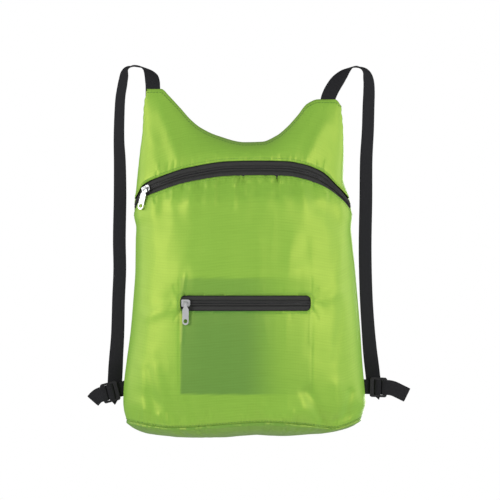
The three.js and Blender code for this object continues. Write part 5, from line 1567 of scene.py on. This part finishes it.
def ripstop(name, light, dark):
    material, tree, shader = new_material(name)
    place = add(tree, "ShaderNodeUVMap", {"uv_map": "weave"})
    split = add(tree, "ShaderNodeSeparateXYZ", links={"Vector": place})
    threads = []
    for axis in ("X", "Y"):
        turns = add(tree, "ShaderNodeMath", {"operation": "MULTIPLY", 1: 2 * math.pi / RIPSTOP_PITCH},
                    {0: split.outputs[axis]})
        wave = add(tree, "ShaderNodeMath", {"operation": "COSINE"}, {0: turns})
        line = add(tree, "ShaderNodeMapRange", {"From Min": 0.55, "From Max": 1.0},
                   {"Value": wave})
        threads.append(line)
    uneven = add(tree, "ShaderNodeTexNoise", {"Scale": 14.0, "Detail": 3.0, "Roughness": 0.55},
                 {"Vector": place})
    fine = add(tree, "ShaderNodeTexNoise", {"Scale": 900.0, "Detail": 2.0}, {"Vector": place})
    weft = add(tree, "ShaderNodeMath", {"operation": "MULTIPLY", 1: WEFT_SHOWS},
               {0: threads[1]})
    warp = add(tree, "ShaderNodeMath", {"operation": "MULTIPLY", 1: WARP_SHOWS},
               {0: threads[0]})
    grid = add(tree, "ShaderNodeMath", {"operation": "MAXIMUM"}, {0: weft, 1: warp})
    shade = add(tree, "ShaderNodeMix", {"data_type": "RGBA", 6: linear(light), 7: linear(dark)},
                {0: uneven})
    stretched = add(tree, "ShaderNodeMapping", {"Scale": (25.0, 700.0, 1.0)},
                    {"Vector": place})
    slub = add(tree, "ShaderNodeTexNoise", {"Scale": 1.0, "Detail": 3.0, "Roughness": 0.6},
               {"Vector": stretched})
    slub_share = add(tree, "ShaderNodeMapRange", {"From Min": 0.4, "From Max": 0.75, "To Max": 0.14},
                     {"Value": slub})
    line_mix = add(tree, "ShaderNodeMath", {"operation": "MULTIPLY_ADD", 1: 0.13},
                   {0: grid, 2: slub_share})
    lined = add(tree, "ShaderNodeMix",
                {"data_type": "RGBA", "blend_type": "MULTIPLY", 7: linear("7fa050")},
                {0: line_mix, 6: shade.outputs[2]})
    # painted shade: this attribute darkens the cloth over the pouch and on the gusset
    painted_shade = add(tree, "ShaderNodeAttribute", {"attribute_name": "painted_shade"})
    colour = add(tree, "ShaderNodeMix",
                 {"data_type": "RGBA", "blend_type": "MULTIPLY", 7: POUCH_PAINTED_SHADE},
                 {0: painted_shade.outputs["Fac"], 6: lined.outputs[2]})
    height = add(tree, "ShaderNodeMath", {"operation": "MULTIPLY_ADD", 1: 0.35},
                 {0: fine, 2: grid})
    bump = add(tree, "ShaderNodeBump", {"Strength": 0.28, "Distance": 0.00015},
               {"Height": height})
    rough = add(tree, "ShaderNodeMapRange", {"To Min": 0.38, "To Max": 0.52},
                {"Value": uneven})
    set_up(tree, shader, {"IOR": 1.53, "Specular IOR Level": 1.0, "Specular Tint": YELLOWISH},
           {"Base Color": colour.outputs[2], "Normal": bump, "Roughness": rough})
    return material


lime_nylon = ripstop("calendered ripstop nylon, lime", "81b144", "79a93f")
pouch_nylon = ripstop("ripstop nylon in shade, lime", "7db04a", "70a045")
hem_nylon = ripstop("rolled hem of ripstop nylon, lime", "6f9a3a", "668f36")
dress([front_cloth, yoke_cloth, back_cloth, gusset_cloth], lime_nylon)
dress([pouch_cloth], pouch_nylon)
dress([neck_hem], hem_nylon)

# %% [markdown]
# ### Tape and webbing
# Both are woven black yarn in a herringbone. The real threads are about 0.3 mm, under half a pixel,
# so the pattern is drawn coarser, at about 1 mm. It breaks the black up into a fine grain, with
# hardly any shine, so that straps read as cloth and not as plastic strips.

# %% Tape and webbing
def woven_black(name, dark, light, pitch, rib, roughness):
    """Woven tape or webbing: a herringbone of slanting threads on the piece's own map."""
    material, tree, shader = new_material(name)
    place = add(tree, "ShaderNodeUVMap", {"uv_map": "weave"})
    split = add(tree, "ShaderNodeSeparateXYZ", links={"Vector": place})
    zigzag = add(tree, "ShaderNodeMath", {"operation": "PINGPONG", 1: rib}, {0: split.outputs["Y"]})
    slant = add(tree, "ShaderNodeMath", {"operation": "ADD"},
                {0: split.outputs["X"], 1: zigzag})
    turns = add(tree, "ShaderNodeMath", {"operation": "MULTIPLY", 1: 2 * math.pi / pitch},
                {0: slant})
    wave = add(tree, "ShaderNodeMath", {"operation": "SINE"}, {0: turns})
    both = add(tree, "ShaderNodeMapRange", {"From Min": -1.0, "From Max": 1.0},
               {"Value": wave})
    fuzz = add(tree, "ShaderNodeTexNoise", {"Scale": 1500.0, "Detail": 2.0},
               {"Vector": place})
    mix = add(tree, "ShaderNodeMix", {"data_type": "RGBA", 6: linear(dark), 7: linear(light)},
              {0: both})
    height = add(tree, "ShaderNodeMath", {"operation": "MULTIPLY_ADD", 1: 0.4},
                 {0: fuzz, 2: both})
    bump = add(tree, "ShaderNodeBump", {"Strength": 0.5, "Distance": 0.0002},
               {"Height": height})
    set_up(tree, shader, {"Roughness": roughness, "Specular IOR Level": 0.15},
           {"Base Color": mix.outputs[2], "Normal": bump})
    return material


zip_weave = woven_black("woven polyester zip tape, black", "2a2a2b", "3e3e3c", 0.0009, 0.0012, 0.8)
webbing_weave = woven_black("woven polypropylene webbing, black", "17171a", "272729", 0.0011, 0.0019, 0.85)
dress([main_tape, pocket_tape], zip_weave)
dress(webbing_pieces, webbing_weave)


# %% [markdown]
# ### Metal, plastic and thread
# Cast zinc under nickel plating reflects the softboxes, a little blurred by its grain, so the pulls
# flash white and grey. Moulded acetal is black with one soft highlight along each rounded edge. The
# coil's nylon shines a little more, which picks out the teeth in the groove. Thread is matt: by the
# zips it is near the cloth's colour and hardly shows, and the darker one of the bottom and neck
# seams reads as a fine dashed line.

# %% Metal, plastic and thread
GRAIN_DEPTH = 0.00004


def plain_finish(name, colour, roughness, metallic=0.0, grain=400.0, strength=0.2, ior=None):
    material, tree, shader = new_material(name)
    place = add(tree, "ShaderNodeTexCoord")
    noise = add(tree, "ShaderNodeTexNoise", {"Scale": grain, "Detail": 3.0},
                {"Vector": place.outputs["Object"]})
    wide = add(tree, "ShaderNodeMapRange", {"To Min": roughness * 0.85, "To Max": roughness * 1.2},
               {"Value": noise})
    bump = add(tree, "ShaderNodeBump", {"Strength": strength, "Distance": GRAIN_DEPTH},
               {"Height": noise})
    set_up(tree, shader, {"Base Color": linear(colour), "Metallic": metallic},
           {"Roughness": wide, "Normal": bump})
    if ior:
        shader.inputs["IOR"].default_value = ior
    return material


nickel = plain_finish("cast zinc, nickel plated", "c4c5c6", 0.48, metallic=1.0)
acetal = plain_finish("moulded acetal, black", "0d0d0f", 0.42, grain=1200.0, ior=1.48)
coil_nylon = plain_finish("nylon coil, black", "1a1a1d", 0.35, ior=1.53)
dark_thread = plain_finish("polyester thread, dark lime", "4a7027", 0.6, grain=2500.0, strength=0.5)
lime_thread = plain_finish("polyester thread, lime", "6e9a38", 0.6, grain=2500.0, strength=0.5)
dress(metal_pieces, nickel)
dress(adjusters, acetal)
dress([main_teeth, pocket_teeth], coil_nylon)
dress([seam_thread], dark_thread)
dress([zip_thread], lime_thread)
print("materials", len(bpy.data.materials))

# %% [markdown]
# ## Floor and light
# A round pale floor lies well below the hanging bag, and it fades out towards its rim, so that no
# line crosses the background of any view. A tall softbox on each side, the right one wider, gives
# the two light bands of the satin cloth, one in front fills, and others light the edges and the back.
# The background is white paper to the eye, but it lights the bag only a little, because paper that
# far away would.

# %% Floor and light
FLOOR_LEVEL = -1.5
FLOOR_RADIUS = 3.2
FLOOR_FADES_FROM = 0.8


def build_floor():
    bpy.ops.object.select_all(action="DESELECT")
    bpy.ops.mesh.primitive_circle_add(vertices=96, radius=FLOOR_RADIUS, fill_type="NGON",
                                      location=(0, 0, FLOOR_LEVEL))
    floor = bpy.context.active_object
    floor.name = "floor"
    bpy.ops.object.transform_apply(location=True)
    material, tree, shader = new_material("matt white paper")
    place = add(tree, "ShaderNodeTexCoord")
    centred = add(tree, "ShaderNodeMapping", {"Location": (0, 0, -FLOOR_LEVEL)},
                  {"Vector": place.outputs["Object"]})
    reach = add(tree, "ShaderNodeVectorMath", {"operation": "LENGTH"}, {0: centred.outputs["Vector"]})
    fade = add(tree, "ShaderNodeMapRange", {"From Min": FLOOR_FADES_FROM, "From Max": FLOOR_RADIUS,
                                            "To Min": 1.0, "To Max": 0.0}, {"Value": reach.outputs["Value"]})
    set_up(tree, shader, {"Base Color": (0.9, 0.9, 0.9, 1), "Roughness": 0.9}, {"Alpha": fade})
    dress([floor], material)
    floor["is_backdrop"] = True


BAG_MIDDLE = (0, -0.03, -0.24)


def softbox(name, place, size, power):
    data = bpy.data.lights.new(name, "AREA")
    data.shape = "RECTANGLE"
    data.size, data.size_y = size
    data.energy = power
    lamp = bpy.data.objects.new(name, data)
    lamp.location = place
    lamp.visible_camera = False
    lamp.rotation_euler = (Vector(BAG_MIDDLE) - Vector(place)).to_track_quat("-Z", "Y").to_euler()
    bpy.context.collection.objects.link(lamp)


build_floor()
softbox("left softbox", (-1.75, -1.35, 0.1), (0.6, 1.3), 28)
softbox("right softbox", (1.4, -1.65, 0.1), (1.2, 1.3), 29)
softbox("front fill", (0.2, -2.8, 0.5), (1.8, 1.8), 4)
softbox("left edge light", (-1.7, 0.0, 0.1), (0.9, 1.3), 10)
softbox("right edge light", (1.7, 0.0, 0.1), (0.9, 1.3), 12)
softbox("back light", (0.9, 1.6, -0.3), (0.8, 1.0), 14)

bpy.context.scene.view_settings.view_transform = "Standard"
WORLD_LIGHT = 0.25
world = bpy.data.worlds.new("studio")
world.use_nodes = True
lit = world.node_tree.nodes["Background"]
set_up(world.node_tree, lit, {"Color": (1, 1, 1, 1), "Strength": WORLD_LIGHT})
seen = add(world.node_tree, "ShaderNodeBackground", {"Color": (1, 1, 1, 1), "Strength": 1.0})
rays = add(world.node_tree, "ShaderNodeLightPath")
either = add(world.node_tree, "ShaderNodeMixShader", links={0: rays.outputs["Is Camera Ray"],
                                                            1: lit.outputs[0], 2: seen.outputs[0]})
world.node_tree.links.new(either.outputs[0], world.node_tree.nodes["World Output"].inputs["Surface"])
bpy.context.scene.world = world
print("lights", len(bpy.data.lights), "and the world at", WORLD_LIGHT)

# %% [markdown]
# ## Closing
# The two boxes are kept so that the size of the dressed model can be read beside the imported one.

# %% Boxes and finish
low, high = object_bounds()
boxes = {"cad": [list(cad_low), list(cad_high)], "visual": [list(low), list(high)]}
print("dressed model", [round(v, 4) for v in low], [round(v, 4) for v in high])
